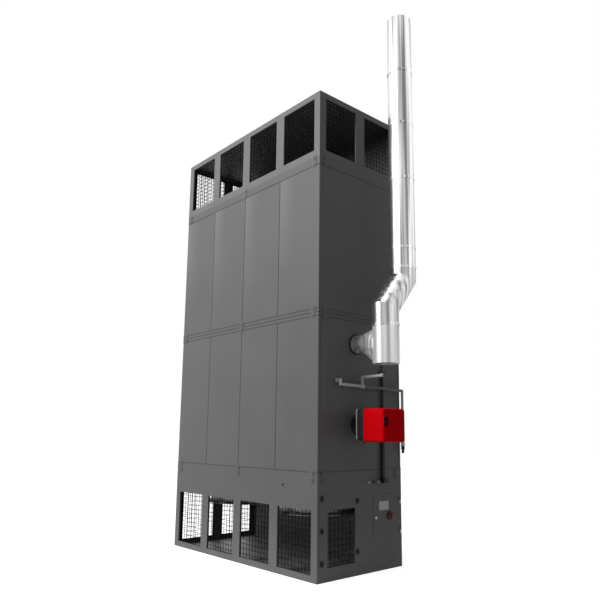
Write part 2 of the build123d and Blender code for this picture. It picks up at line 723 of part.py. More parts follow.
with BuildPart() as door_lock:
    with BuildSketch(across(DOOR_FACE_X + LOOSE_FIT)):
        with Locations((LOCK_Y, DOOR_Z)):
            Circle(LOCK_HEAD_RADIUS)
    extrude(amount=LOCK_HEAD)
    with BuildSketch(across(DOOR_FACE_X + LOOSE_FIT + LOCK_HEAD)):
        with Locations((LOCK_Y, DOOR_Z)):
            Rectangle(CAM_THICKNESS, LOCK_HEAD_RADIUS)
    extrude(amount=-LOCK_HEAD / 2, mode=Mode.SUBTRACT)
    with BuildSketch(across(DOOR_FACE_X + LOOSE_FIT)):
        with Locations((LOCK_Y, DOOR_Z)):
            Circle(LOCK_RADIUS)
    extrude(amount=-LOCK_DEPTH)
    with BuildSketch(across(DOOR_FACE_X + LOOSE_FIT - LOCK_DEPTH)):
        with Locations((LOCK_Y, DOOR_Z + CAM_LENGTH / 2 - CAM_WIDTH / 2)):
            SlotOverall(CAM_LENGTH + CAM_WIDTH / 2, CAM_WIDTH, rotation=90)
    extrude(amount=CAM_THICKNESS)
PIECES["door_lock"] = door_lock.part

BEZEL_FACE_X = DOOR_FACE_X + ISOLATOR_BEZEL_DEPTH
with BuildPart() as isolator_switch:
    with BuildSketch(across(DOOR_FACE_X)):
        with Locations((ISOLATOR_Y, ISOLATOR_Z)):
            Circle(ISOLATOR_BEZEL)
    extrude(amount=ISOLATOR_BEZEL_DEPTH)
    with BuildSketch(across(DOOR_FACE_X)):
        with Locations((ISOLATOR_Y, ISOLATOR_Z)):
            Circle(ISOLATOR_NECK)
    extrude(amount=-SHEET)
    with BuildSketch(across(DOOR_BACK_X)):
        with Locations((ISOLATOR_Y, ISOLATOR_Z)):
            RectangleRounded(ISOLATOR_BODY, ISOLATOR_BODY, KNOB_STEM)
    extrude(amount=-ISOLATOR_BODY_DEPTH)
    with BuildSketch(across(BEZEL_FACE_X)):
        with Locations((ISOLATOR_Y, ISOLATOR_Z)):
            Circle(KNOB_STEM + RUNNING_FIT)
    extrude(amount=-ISOLATOR_BEZEL_DEPTH, mode=Mode.SUBTRACT)
PIECES["isolator_switch"] = isolator_switch.part

with BuildPart() as isolator_handle:
    with BuildSketch(across(BEZEL_FACE_X + LOOSE_FIT)):
        with Locations((ISOLATOR_Y, ISOLATOR_Z)):
            Circle(KNOB_RADIUS)
    extrude(amount=KNOB_BASE)
    with BuildSketch(across(BEZEL_FACE_X + LOOSE_FIT + KNOB_BASE)):
        with Locations((ISOLATOR_Y, ISOLATOR_Z)):
            SlotOverall(KNOB_GRIP_LENGTH, KNOB_GRIP_WIDTH, rotation=90)
    extrude(amount=KNOB_GRIP)
    with BuildSketch(across(BEZEL_FACE_X + LOOSE_FIT)):
        with Locations((ISOLATOR_Y, ISOLATOR_Z)):
            Circle(KNOB_STEM)
    extrude(amount=-ISOLATOR_BEZEL_DEPTH / 2)
PIECES["isolator_handle"] = isolator_handle.part

# Fan deck, casings, motors and impellers
with BuildPart() as fan_deck:
    with BuildSketch(Plane.XY.offset(DECK_LOW)):
        Rectangle(WIDTH - 2 * SHEET - 2 * EDGE_FIT, DEPTH - 2 * SHEET - 2 * EDGE_FIT)
        with Locations((-FAN_X, 0), (FAN_X, 0)):
            Circle(CASING_RADIUS, mode=Mode.SUBTRACT)
    extrude(amount=DECK)
PIECES["fan_deck"] = fan_deck.part

BELL_CENTRE = (CASING_RADIUS + BELL_RADIUS, DECK_LOW - CASING_LENGTH)
FLANGE_EDGE = CASING_RADIUS + CASING_FLANGE


def bell_points(radius):
    """The spun bell mouth's curve, in the steps that the spinning tool leaves."""
    turns = [math.pi + step * math.pi / 2 / BELL_STEPS for step in range(BELL_STEPS + 1)]
    return [(BELL_CENTRE[0] + radius * math.cos(t), BELL_CENTRE[1] + radius * math.sin(t)) for t in turns]


with BuildPart() as fan_casing:
    with BuildSketch(Plane.XZ):
        with BuildLine():
            Polyline(
                *bell_points(BELL_RADIUS),
                *reversed(bell_points(BELL_RADIUS - CASING_WALL)),
                (CASING_RADIUS + CASING_WALL, DECK_LOW - CASING_WALL),
                (FLANGE_EDGE, DECK_LOW - CASING_WALL),
                (FLANGE_EDGE, DECK_LOW),
                (CASING_RADIUS, DECK_LOW),
                close=True,
            )
        make_face()
    revolve(axis=Axis.Z)
with BuildPart() as fan_casings:
    with Locations((-FAN_X, 0, 0), (FAN_X, 0, 0)):
        add(fan_casing.part)
PIECES["fan_casings"] = fan_casings.part

with BuildPart() as spider:
    with BuildSketch(Plane.XY.offset(SPIDER_LOW)):
        with PolarLocations(CASING_RADIUS / 2, SPIDER_ARMS, start_angle=180 / SPIDER_ARMS):
            Rectangle(CASING_RADIUS, SPIDER_ARM_WIDTH)
        Circle(SPIDER_RADIUS)
        Circle(SPIDER_BORE, mode=Mode.SUBTRACT)
    extrude(amount=SPIDER_THICKNESS)
    with BuildSketch(Plane.XY.offset(SPIDER_LOW)):
        Circle(CASING_RADIUS - LOOSE_FIT)
    extrude(amount=SPIDER_THICKNESS, mode=Mode.INTERSECT)
with BuildPart() as motor_spiders:
    with Locations((-FAN_X, 0, 0), (FAN_X, 0, 0)):
        add(spider.part)
PIECES["motor_spiders"] = motor_spiders.part

MOTOR_LOW = SPIDER_LOW - MOTOR_LENGTH
with BuildPart() as fan_motor:
    with BuildSketch(Plane.XY.offset(MOTOR_LOW + MOTOR_END_BELL)):
        Circle(MOTOR_RADIUS)
        with PolarLocations(MOTOR_RADIUS, MOTOR_RIBS):
            Rectangle(2 * MOTOR_RIB_HEIGHT, MOTOR_RIB_WIDTH)
    extrude(amount=MOTOR_LENGTH - MOTOR_END_BELL - SPIDER_THICKNESS)
    with BuildSketch(Plane.XY.offset(MOTOR_LOW)):
        Circle(MOTOR_RADIUS)
    extrude(amount=MOTOR_LENGTH)
    chamfer(faces().sort_by(Axis.Z)[0].edges(), length=MOTOR_END_BELL - EDGE_FIT)
    with BuildSketch(Plane.XY.offset(SPIDER_LOW)):
        Circle(SHAFT_RADIUS + RUNNING_FIT)
    extrude(amount=-SHAFT_IN_MOTOR - EDGE_FIT, mode=Mode.SUBTRACT)

with BuildPart() as fan_shaft:
    with BuildSketch(Plane.XY.offset(SPIDER_LOW - SHAFT_IN_MOTOR)):
        Circle(SHAFT_RADIUS)
    extrude(amount=HUB_LOW - SPIDER_LOW + SHAFT_IN_MOTOR + SHAFT_IN_HUB)

BLADE_Z = HUB_LOW + HUB_HEIGHT / 2
TIP_RADIUS = CASING_RADIUS - TIP_CLEARANCE


def blade_section(radius, chord, pitch):
    """A cambered blade section square to the blade's own radius, turned to its pitch."""
    turn = math.radians(pitch)
    plane = Plane(origin=(radius, 0, BLADE_Z), x_dir=(0, math.cos(turn), math.sin(turn)), z_dir=(1, 0, 0))
    stations = [2 * step / BLADE_STEPS - 1 for step in range(BLADE_STEPS + 1)]
    upper = []
    lower = []
    for station in stations:
        crown = 1 - station * station
        middle = BLADE_CAMBER * chord * crown
        half = (BLADE_EDGE + (BLADE_THICKNESS - BLADE_EDGE) * crown) / 2
        upper.append((station * chord / 2, middle + half))
        lower.append((station * chord / 2, middle - half))
    with BuildSketch(plane) as section:
        with BuildLine():
            Polyline(*upper, *reversed(lower), close=True)
        make_face()
    return section.sketch


with BuildPart() as blade:
    loft(
        sections=[
            blade_section(HUB_RADIUS - ROOT_SINK, ROOT_CHORD, ROOT_PITCH).faces()[0],
            blade_section(CASING_RADIUS, TIP_CHORD, TIP_PITCH).faces()[0],
        ],
        ruled=True,
    )
    with BuildSketch(Plane.XY.offset(DECK_LOW - CASING_LENGTH)):
        Circle(TIP_RADIUS)
    extrude(amount=CASING_LENGTH, mode=Mode.INTERSECT)

with BuildPart() as impeller:
    with BuildSketch(Plane.XY.offset(HUB_LOW)):
        Circle(HUB_RADIUS)
    extrude(amount=HUB_HEIGHT)
    chamfer(faces().sort_by(Axis.Z)[-1].edges(), length=HUB_NOSE)
    with PolarLocations(0, BLADES):
        add(blade.part)
    with BuildSketch(Plane.XY.offset(HUB_LOW)):
        Circle(SHAFT_RADIUS + LOOSE_FIT)
    extrude(amount=HUB_HEIGHT, mode=Mode.SUBTRACT)

for side, fan_x in FAN_PLACES.items():
    for label, source in (("fan_motor", fan_motor), ("fan_shaft", fan_shaft), ("impeller", impeller)):
        with BuildPart() as placed:
            with Locations((fan_x, 0, 0)):
                add(source.part)
        PIECES[f"{label}_{side}"] = placed.part

# Casing tiers: panels between the section rails
panel_pitch = WIDTH / BAYS
long_width = panel_pitch - PANEL_GAP
end_width = 2 * (HALF_Y - PANEL_RETURN - PANEL_GAP)
tiers = [
    (bottom + RAIL_HEIGHT, bottom + TIER_HEIGHT - RAIL_HEIGHT) for bottom in (TIER_LOW_Z, TIER_MID_Z)
]


def tier_pans(side, places, width, levels):
    """Like panels of one side, over the given tiers."""
    return group([pan(side, place, width, low, high) for low, high in levels for place in places])


long_places = spread(BAYS, (WIDTH - long_width) / (BAYS - 1))
PIECES["front_panels"] = tier_pans("front", long_places, long_width, tiers)
PIECES["back_panels"] = tier_pans("back", long_places, long_width, tiers)
PIECES["left_end_panels"] = tier_pans("left", (0,), end_width, tiers)
PIECES["upper_right_panel"] = tier_pans("right", (0,), end_width, tiers[1:])

with BuildPart() as lower_right_panel:
    add(pan("right", 0, end_width, *tiers[0]))
    with BuildSketch(upright("right")):
        with Locations((BURNER_Y, BURNER_Z)):
            Circle(BLAST_RADIUS + DOOR_FIT)
        with Locations((FLUE_Y, SPIGOT_Z)):
            Circle(SPIGOT_RADIUS + DOOR_FIT)
        with Locations((DRAIN_WALL_Y, DRAIN_WALL_Z)):
            Circle(DRAIN_RADIUS + LOOSE_FIT)
    extrude(amount=-SHEET, mode=Mode.SUBTRACT)
PIECES["lower_right_panel"] = lower_right_panel.part

rails = []
for seam in SEAMS_Z:
    for low in (seam - RAIL_HEIGHT, seam):
        rails += [rail(side, low) for side in AROUND]
PIECES["section_rails"] = group(rails)

joint_places = {
    "front": (-HALF_X + JOINT_PLATE_INSET, 0, HALF_X - JOINT_PLATE_INSET),
    "back": (-HALF_X + JOINT_PLATE_INSET, 0, HALF_X - JOINT_PLATE_INSET),
    "left": (-HALF_Y + JOINT_PLATE_INSET, HALF_Y - JOINT_PLATE_INSET),
    "right": (-HALF_Y + JOINT_PLATE_INSET, HALF_Y - JOINT_PLATE_INSET),
}
with BuildPart() as joint_plates:
    for side, places in joint_places.items():
        with BuildSketch(upright(side)):
            with Locations(*[(place, seam) for place in places for seam in SEAMS_Z]):
                Rectangle(JOINT_PLATE_WIDTH, JOINT_PLATE_HEIGHT)
        extrude(amount=JOINT_PLATE)
PIECES["joint_plates"] = joint_plates.part

with BuildPart() as flange_bolts:
    for side, places in joint_places.items():
        with BuildSketch(upright(side, -JOINT_PLATE)):
            for place in places:
                for seam in SEAMS_Z:
                    with Locations((place, seam - BOLT_REACH), (place, seam + BOLT_REACH)):
                        RegularPolygon(BOLT_ACROSS / 2, 6, major_radius=False)
        extrude(amount=BOLT_HEAD)
PIECES["flange_bolts"] = flange_bolts.part

# Heat exchanger: drum, reversal box, tubes and smoke box
with BuildPart() as combustion_drum:
    with BuildSketch(across(DRUM_REAR_X)):
        with Locations((BURNER_Y, BURNER_Z)):
            Circle(DRUM_RADIUS)
            Circle(DRUM_RADIUS - DRUM_WALL, mode=Mode.SUBTRACT)
    extrude(amount=DRUM_FRONT_X - DRUM_REAR_X)
    with BuildSketch(across(DRUM_FRONT_X)):
        with Locations((BURNER_Y, BURNER_Z)):
            Circle(DRUM_RADIUS)
            Circle(BLAST_RADIUS + DOOR_FIT, mode=Mode.SUBTRACT)
    extrude(amount=-DRUM_WALL)
PIECES["combustion_drum"] = combustion_drum.part

reversal_low = BURNER_Z - DRUM_RADIUS
tube_places = [
    (BURNER_Y + offset, TUBE_LOW_Z + row * TUBE_PITCH_Z)
    for row in range(TUBE_ROWS)
    for offset in spread(TUBES_IN_ROW, TUBE_PITCH_Y)
]


def gas_box(back_x, depth, low):
    """A welded box for flue gas, closed on every side."""
    centre = (BURNER_Y, (low + BOX_TOP_Z) / 2)
    with BuildPart() as box:
        with BuildSketch(across(back_x)):
            with Locations(centre):
                Rectangle(BOX_WIDTH, BOX_TOP_Z - low)
        extrude(amount=depth)
        with BuildSketch(across(back_x + BOX_WALL)):
            with Locations(centre):
                Rectangle(BOX_WIDTH - 2 * BOX_WALL, BOX_TOP_Z - low - 2 * BOX_WALL)
        extrude(amount=depth - 2 * BOX_WALL, mode=Mode.SUBTRACT)
    return box.part


with BuildPart() as reversal_box:
    add(gas_box(DRUM_REAR_X - REVERSAL_DEPTH, REVERSAL_DEPTH, reversal_low))
    with BuildSketch(across(DRUM_REAR_X)):
        with Locations((BURNER_Y, BURNER_Z)):
            Circle(DRUM_RADIUS - 2 * DRUM_WALL)
        with Locations(*tube_places):
            Circle(TUBE_RADIUS - TUBE_WALL)
    extrude(amount=-BOX_WALL, mode=Mode.SUBTRACT)
PIECES["reversal_box"] = reversal_box.part

with BuildPart() as smoke_box:
    add(gas_box(TUBE_FRONT_X, SMOKE_BOX_DEPTH, SMOKE_BOX_LOW_Z))
    with BuildSketch(across(TUBE_FRONT_X)):
        with Locations(*tube_places):
            Circle(TUBE_RADIUS - TUBE_WALL)
    extrude(amount=BOX_WALL, mode=Mode.SUBTRACT)
    with BuildSketch(across(SMOKE_BOX_FRONT_X)):
        with Locations((FLUE_Y, SPIGOT_Z)):
            Circle(SPIGOT_RADIUS - SPIGOT_WALL)
    extrude(amount=-BOX_WALL, mode=Mode.SUBTRACT)
PIECES["smoke_box"] = smoke_box.part

with BuildPart() as exchanger_tubes:
    with BuildSketch(across(DRUM_REAR_X)):
        with Locations(*tube_places):
            Circle(TUBE_RADIUS)
            Circle(TUBE_RADIUS - TUBE_WALL, mode=Mode.SUBTRACT)
    extrude(amount=TUBE_FRONT_X - DRUM_REAR_X)
PIECES["exchanger_tubes"] = exchanger_tubes.part

beam_low = TIER_LOW_Z + SHEET
saddle_top = BURNER_Z - DRUM_RADIUS + SADDLE_RISE
with BuildPart() as exchanger_cradles:
    for x in (-CRADLE_X, CRADLE_X):
        with BuildSketch(Plane.XY.offset(beam_low)):
            with Locations((x, 0)):
                Rectangle(CRADLE_WIDTH, DEPTH - 2 * SHEET - 2 * EDGE_FIT)
        extrude(amount=RAIL_HEIGHT - 2 * SHEET - EDGE_FIT)
        with BuildSketch(Plane.XY.offset(beam_low)):
            with Locations((x, BURNER_Y)):
                Rectangle(CRADLE_WIDTH, SADDLE_WIDTH)
        extrude(amount=CRADLE_BEAM)
        with BuildSketch(across(x - SADDLE_PLATE / 2)):
            with Locations((BURNER_Y, (beam_low + saddle_top) / 2)):
                Rectangle(SADDLE_WIDTH, saddle_top - beam_low)
            with Locations((BURNER_Y, BURNER_Z)):
                Circle(DRUM_RADIUS + LOOSE_FIT, mode=Mode.SUBTRACT)
        extrude(amount=SADDLE_PLATE)
PIECES["exchanger_cradles"] = exchanger_cradles.part

# Burner
with BuildPart() as burner_collar:
    with BuildSketch(across(HALF_X)):
        with Locations((BURNER_Y, BURNER_Z)):
            Circle(COLLAR_RADIUS)
            Circle(COLLAR_RADIUS - COLLAR_WALL, mode=Mode.SUBTRACT)
    extrude(amount=COLLAR_LENGTH)
    with BuildSketch(across(HALF_X)):
        with Locations((BURNER_Y, BURNER_Z)):
            Circle(COLLAR_RADIUS + COLLAR_RIM)
            Circle(COLLAR_RADIUS - COLLAR_WALL, mode=Mode.SUBTRACT)
    extrude(amount=COLLAR_RIM_THICKNESS)
PIECES["burner_collar"] = burner_collar.part

with BuildPart() as burner_flange:
    with BuildSketch(across(FLANGE_X)):
        with Locations((BURNER_Y, BURNER_Z + FLANGE_RISE)):
            RectangleRounded(FLANGE_WIDTH, FLANGE_HEIGHT, FLANGE_CORNER)
        with Locations((BURNER_Y, BURNER_Z)):
            Circle(BLAST_RADIUS + LOOSE_FIT, mode=Mode.SUBTRACT)
    extrude(amount=FLANGE_THICKNESS)
PIECES["burner_flange"] = burner_flange.part

BLAST_LOW_X = DRUM_FRONT_X - BLAST_REACH
with BuildPart() as blast_tube:
    with BuildSketch(across(BLAST_LOW_X)):
        with Locations((BURNER_Y, BURNER_Z)):
            Circle(BLAST_RADIUS)
            Circle(BLAST_RADIUS - BLAST_WALL, mode=Mode.SUBTRACT)
    extrude(amount=BODY_X - BLAST_LOW_X)
    with BuildSketch(across(BLAST_LOW_X + BLAST_HEAD)):
        with Locations((BURNER_Y, BURNER_Z)):
            Circle(BLAST_RADIUS - BLAST_WALL)
            Circle(WHEEL_HUB, mode=Mode.SUBTRACT)
            with PolarLocations(BLAST_RADIUS / 2, 8):
                Rectangle(BLAST_RADIUS / 2, BLAST_WALL, rotation=20, mode=Mode.SUBTRACT)
    extrude(amount=BLAST_WALL)
PIECES["blast_tube"] = blast_tube.part

with BuildPart() as burner_body:
    with BuildSketch(across(BODY_X)):
        with Locations((BURNER_Y, BODY_Z)):
            RectangleRounded(BODY_WIDTH, BODY_HEIGHT, BODY_CORNER)
    extrude(amount=BODY_DEPTH)
    with BuildSketch(across(COVER_X)):
        with Locations((WHEEL_Y, WHEEL_Z)):
            Circle(FAN_CAVITY_RADIUS)
    extrude(amount=BODY_WALL - BODY_DEPTH, mode=Mode.SUBTRACT)
    with BuildSketch(across(BODY_X)):
        with Locations((BURNER_Y, BURNER_Z)):
            Circle(BLAST_RADIUS - BODY_WALL)
    extrude(amount=2 * BODY_WALL, mode=Mode.SUBTRACT)
    with BuildSketch(Plane.XY.offset(BODY_UNDERSIDE)):
        with Locations((INLET_X, WHEEL_Y)):
            Rectangle(INLET_DEPTH, INLET_LENGTH)
    extrude(amount=FAN_CAVITY_RADIUS / 2, mode=Mode.SUBTRACT)
    for sign in (-1, 1):
        ear_y = WHEEL_Y + sign * (INLET_LENGTH / 2 + DAMPER_LAP + DAMPER_EAR)
        with BuildSketch(Plane(origin=(0, ear_y, 0), x_dir=(1, 0, 0), z_dir=(0, -1, 0))):
            with Locations((DAMPER_PIVOT_X, BODY_UNDERSIDE - DAMPER_EAR / 2)):
                Rectangle(2 * DAMPER_EAR, DAMPER_EAR)
            with Locations((DAMPER_PIVOT_X, DAMPER_PIVOT_Z)):
                Circle(DAMPER_PIVOT + RUNNING_FIT, mode=Mode.SUBTRACT)
        extrude(amount=DAMPER_EAR / 2, both=True)
    with BuildSketch(Plane.XY.offset(BODY_UNDERSIDE)):
        with Locations((INLET_X, FUEL_STUB_Y)):
            Circle(FUEL_STUB_RADIUS)
    extrude(amount=-FUEL_STUB_LENGTH)
PIECES["burner_body"] = burner_body.part

with BuildPart() as air_damper:
    damper_reach = INLET_DEPTH + 2 * DAMPER_LAP
    with BuildSketch(Plane.XY.offset(DAMPER_PIVOT_Z - DAMPER_THICKNESS / 2)):
        with Locations((DAMPER_PIVOT_X + damper_reach / 2, WHEEL_Y)):
            Rectangle(damper_reach, INLET_LENGTH + 2 * DAMPER_LAP)
    extrude(amount=DAMPER_THICKNESS)
    with BuildSketch(Plane(origin=(0, WHEEL_Y, 0), x_dir=(1, 0, 0), z_dir=(0, -1, 0))):
        with Locations((DAMPER_PIVOT_X, DAMPER_PIVOT_Z)):
            Circle(DAMPER_PIVOT)
    extrude(amount=INLET_LENGTH / 2 + DAMPER_LAP + 2 * DAMPER_EAR, both=True)
PIECES["air_damper"] = air_damper.part

WHEEL_LOW_X = COVER_X - BODY_WALL - WHEEL_WIDTH
with BuildPart() as burner_fan:
    with BuildSketch(across(WHEEL_LOW_X)):
        with Locations((WHEEL_Y, WHEEL_Z)):
            Circle(WHEEL_RADIUS)
            Circle(WHEEL_RADIUS - WHEEL_BLADE_DEPTH, mode=Mode.SUBTRACT)
    extrude(amount=WHEEL_PLATE)
    with BuildSketch(across(WHEEL_LOW_X + WHEEL_WIDTH)):
        with Locations((WHEEL_Y, WHEEL_Z)):
            Circle(WHEEL_RADIUS)
    extrude(amount=-WHEEL_PLATE)
    with BuildSketch(across(WHEEL_LOW_X + WHEEL_PLATE)):
        with Locations((WHEEL_Y, WHEEL_Z)):
            with PolarLocations(WHEEL_RADIUS - WHEEL_BLADE_DEPTH / 2, WHEEL_BLADES):
                Rectangle(WHEEL_BLADE_DEPTH - EDGE_FIT, WHEEL_BLADE, rotation=30)
    extrude(amount=WHEEL_WIDTH - 2 * WHEEL_PLATE)
    with BuildSketch(across(WHEEL_LOW_X + WHEEL_WIDTH)):
        with Locations((WHEEL_Y, WHEEL_Z)):
            Circle(WHEEL_HUB)
    extrude(amount=-WHEEL_WIDTH / 2)
    with BuildSketch(across(WHEEL_LOW_X + WHEEL_WIDTH)):
        with Locations((WHEEL_Y, WHEEL_Z)):
            Circle(WHEEL_SHAFT)
    extrude(amount=WHEEL_SHAFT_OUT)
PIECES["burner_fan"] = burner_fan.part

with BuildPart() as burner_motor:
    with BuildSketch(across(COVER_X)):
        with Locations((WHEEL_Y, WHEEL_Z)):
            Circle(BURNER_MOTOR_FLANGE)
    extrude(amount=BURNER_MOTOR_PLATE)
    with BuildSketch(across(COVER_X)):
        with Locations((WHEEL_Y, WHEEL_Z)):
            Circle(BURNER_MOTOR_RADIUS)
    extrude(amount=BURNER_MOTOR_LENGTH)
    chamfer(faces().sort_by(Axis.X)[-1].edges(), length=BURNER_MOTOR_BELL)
    with BuildSketch(across(COVER_X)):
        with Locations((WHEEL_Y, WHEEL_Z)):
            Circle(WHEEL_SHAFT + RUNNING_FIT)
    extrude(amount=WHEEL_SHAFT_OUT, mode=Mode.SUBTRACT)
PIECES["burner_motor"] = burner_motor.part

pocket_floor_x = COVER_FACE_X - POCKET_DEPTH
inner_floor_x = COVER_FACE_X - COVER_WALL


def cover_block(inset):
    """The cover's outer block, or its hollow when inset by the wall."""
    with BuildPart() as block:
        with BuildSketch(across(COVER_X)):
            with Locations((BURNER_Y, COVER_Z)):
                Rectangle(COVER_WIDTH - 2 * inset, COVER_HEIGHT - 2 * inset)
        extrude(amount=COVER_DEPTH - inset)
    return block


with BuildPart() as cover_hollow:
    add(cover_block(COVER_WALL).part)
    long_edges = edges().filter_by(Axis.X)
    face_edges = faces().sort_by(Axis.X)[-1].edges()
    chamfer(long_edges + face_edges, length=COVER_INNER_CHAMFER)

with BuildPart() as burner_cover:
    add(cover_block(0).part)
    long_edges = edges().filter_by(Axis.X)
    face_edges = faces().sort_by(Axis.X)[-1].edges()
    fillet(long_edges + face_edges, radius=COVER_EDGE)
    add(cover_hollow.part, mode=Mode.SUBTRACT)
    with BuildSketch(across(pocket_floor_x - COVER_WALL)):
        with Locations((POCKET_Y, POCKET_Z)):
            Rectangle(POCKET_WIDTH + 2 * COVER_WALL, POCKET_HEIGHT + 2 * COVER_WALL)
    extrude(amount=inner_floor_x - pocket_floor_x + COVER_WALL)
    with BuildSketch(across(pocket_floor_x)):
        with Locations((POCKET_Y, POCKET_Z)):
            Rectangle(POCKET_WIDTH, POCKET_HEIGHT)
    extrude(amount=POCKET_DEPTH, mode=Mode.SUBTRACT)
    with BuildSketch(across(pocket_floor_x)):
        with Locations((POCKET_Y, POCKET_Z)):
            Circle(BUTTON_RADIUS + LOOSE_FIT)
    extrude(amount=-COVER_WALL, mode=Mode.SUBTRACT)
PIECES["burner_cover"] = burner_cover.part

with BuildPart() as reset_button:
    button_back_x = pocket_floor_x - COVER_WALL - LOOSE_FIT
    with BuildSketch(across(button_back_x)):
        with Locations((POCKET_Y, POCKET_Z)):
            Circle(BUTTON_RADIUS + BUTTON_RIM)
    extrude(amount=-BUTTON_RIM_DEPTH)
    with BuildSketch(across(button_back_x)):
        with Locations((POCKET_Y, POCKET_Z)):
            Circle(BUTTON_RADIUS)
    extrude(amount=COVER_WALL + BUTTON_PROUD)
PIECES["reset_button"] = reset_button.part

# Flue: wall collar, boot, tee, offset elbows and straight sections
with BuildPart() as flue_collar:
    with BuildSketch(across(HALF_X)):
        with Locations((FLUE_Y, SPIGOT_Z)):
            Circle(WALL_COLLAR_RADIUS)
            Circle(SPIGOT_RADIUS + LOOSE_FIT, mode=Mode.SUBTRACT)
    extrude(amount=WALL_COLLAR)
PIECES["flue_collar"] = flue_collar.part

BOOT_Z = TEE_LOW_Z + TEE_HEIGHT / 2


def boot_ring(height, half_width, half_height):
    """A ring of as many corners as the boot has folds, round or oval, about the flue's own line."""
    turns = [2 * math.pi * (fold + 0.5) / BOOT_FOLDS for fold in range(BOOT_FOLDS)]
    return [(FLUE_Y + half_width * math.cos(t), height + half_height * math.sin(t)) for t in turns]


def boot_shape(inset):
    """The spigot and the folded boot as one closed form, outside or, inset by the wall, inside."""
    with BuildPart() as form:
        with BuildSketch(across(SMOKE_BOX_FRONT_X)):
            with Locations((FLUE_Y, SPIGOT_Z)):
                Circle(SPIGOT_RADIUS - inset)
        extrude(amount=HALF_X + SPIGOT_OUT - SMOKE_BOX_FRONT_X)
        with BuildSketch(across(HALF_X + SPIGOT_OUT)):
            with BuildLine():
                Polyline(*boot_ring(SPIGOT_Z, SPIGOT_RADIUS - inset, SPIGOT_RADIUS - inset), close=True)
            make_face()
        with BuildSketch(across(HALF_X + BOOT_OUT)):
            with BuildLine():
                Polyline(*boot_ring(BOOT_Z, BOOT_HALF_WIDTH - inset, BOOT_HALF_HEIGHT - inset), close=True)
            make_face()
        loft(ruled=True)
        with BuildSketch(across(HALF_X + BOOT_OUT)):
            with BuildLine():
                Polyline(*boot_ring(BOOT_Z, BOOT_HALF_WIDTH - inset, BOOT_HALF_HEIGHT - inset), close=True)
            make_face()
        extrude(amount=FLUE_OUT - BOOT_OUT)
    return form.part


with BuildPart() as flue_boot:
    add(boot_shape(0))
    add(boot_shape(SPIGOT_WALL), mode=Mode.SUBTRACT)
    with BuildSketch(Plane.XY.offset(TEE_LOW_Z - TEE_HEIGHT)):
        with Locations((FLUE_X, FLUE_Y)):
            Circle(FLUE_RADIUS + LOOSE_FIT)
    extrude(amount=TEE_HEIGHT * 3, mode=Mode.SUBTRACT)
PIECES["flue_boot"] = flue_boot.part

with BuildPart() as flue_tee:
    add(tube_up(FLUE_X, FLUE_Y, TEE_LOW_Z, TEE_TOP_Z, FLUE_RADIUS, FLUE_BORE))
    with BuildSketch(Plane.XY.offset(TEE_LOW_Z)):
        with Locations((FLUE_X, FLUE_Y)):
            Circle(FLUE_RADIUS)
    extrude(amount=TEE_BASE)
    with BuildSketch(Plane.XY.offset(TEE_LOW_Z)):
        with Locations((DRAIN_X, BRANCH_Y)):
            Circle(DRAIN_SPOUT)
    extrude(amount=-DRAIN_SPOUT_LENGTH)
    with BuildSketch(across(FLUE_X)):
        with Locations((FLUE_Y, BOOT_Z)):
            Circle(SPIGOT_RADIUS)
    extrude(amount=-2 * FLUE_RADIUS, mode=Mode.SUBTRACT)
PIECES["flue_tee"] = flue_tee.part

lower_mitre = Vector(FLUE_X, FLUE_Y, LOWER_MITRE_Z)
upper_mitre = Vector(FLUE_X, STACK_Y, UPPER_MITRE_Z)
incline = (upper_mitre - lower_mitre).normalized()
bisector = (incline + Vector(0, 0, 1)).normalized()
stub_end = lower_mitre + incline * ELBOW_STUB


def run(start, direction, length, mitre=None, keep=Keep.BOTTOM):
    """A straight flue run from start, cut off at a mitre plane where one is given."""
    with BuildPart() as straight:
        with BuildSketch(Plane(origin=start, z_dir=direction, x_dir=(1, 0, 0))):
            Circle(FLUE_RADIUS)
            Circle(FLUE_BORE, mode=Mode.SUBTRACT)
        extrude(amount=length)
        if mitre:
            split(bisect_by=Plane(origin=mitre, z_dir=bisector, x_dir=(1, 0, 0)), keep=keep)
    return straight.part


def elbow(first, second):
    """Two runs welded at their mitre."""
    with BuildPart() as joined:
        add(first)
        add(second)
    return joined.part


up = Vector(0, 0, 1)
over = 2 * FLUE_RADIUS
lower_elbow = elbow(
    run(Vector(FLUE_X, FLUE_Y, TEE_TOP_Z), up, LOWER_MITRE_Z - TEE_TOP_Z + over, lower_mitre, Keep.BOTTOM),
    run(lower_mitre - incline * over, incline, over + ELBOW_STUB, lower_mitre, Keep.TOP),
)
upper_elbow = elbow(
    run(stub_end, incline, (upper_mitre - stub_end).length + over, upper_mitre, Keep.BOTTOM),
    run(upper_mitre - up * over, up, over + UPPER_ELBOW_TOP_Z - UPPER_MITRE_Z, upper_mitre, Keep.TOP),
)
PIECES["flue_elbows"] = group([lower_elbow, upper_elbow])

pipe_ends = (UPPER_ELBOW_TOP_Z, *FLUE_JOINTS_Z, FLUE_TOP_Z)
sections = [
    tube_up(FLUE_X, STACK_Y, low, high, FLUE_RADIUS, FLUE_BORE) for low, high in zip(pipe_ends[:-2], pipe_ends[1:-1])
]
with BuildPart() as top_section:
    add(tube_up(FLUE_X, STACK_Y, pipe_ends[-2], FLUE_TOP_Z - FLUE_END, FLUE_RADIUS, FLUE_BORE))
    add(tube_up(FLUE_X, STACK_Y, FLUE_TOP_Z - FLUE_END, FLUE_TOP_Z, FLUE_END_RADIUS, FLUE_BORE))
PIECES["flue_pipes"] = group([*sections, top_section.part])

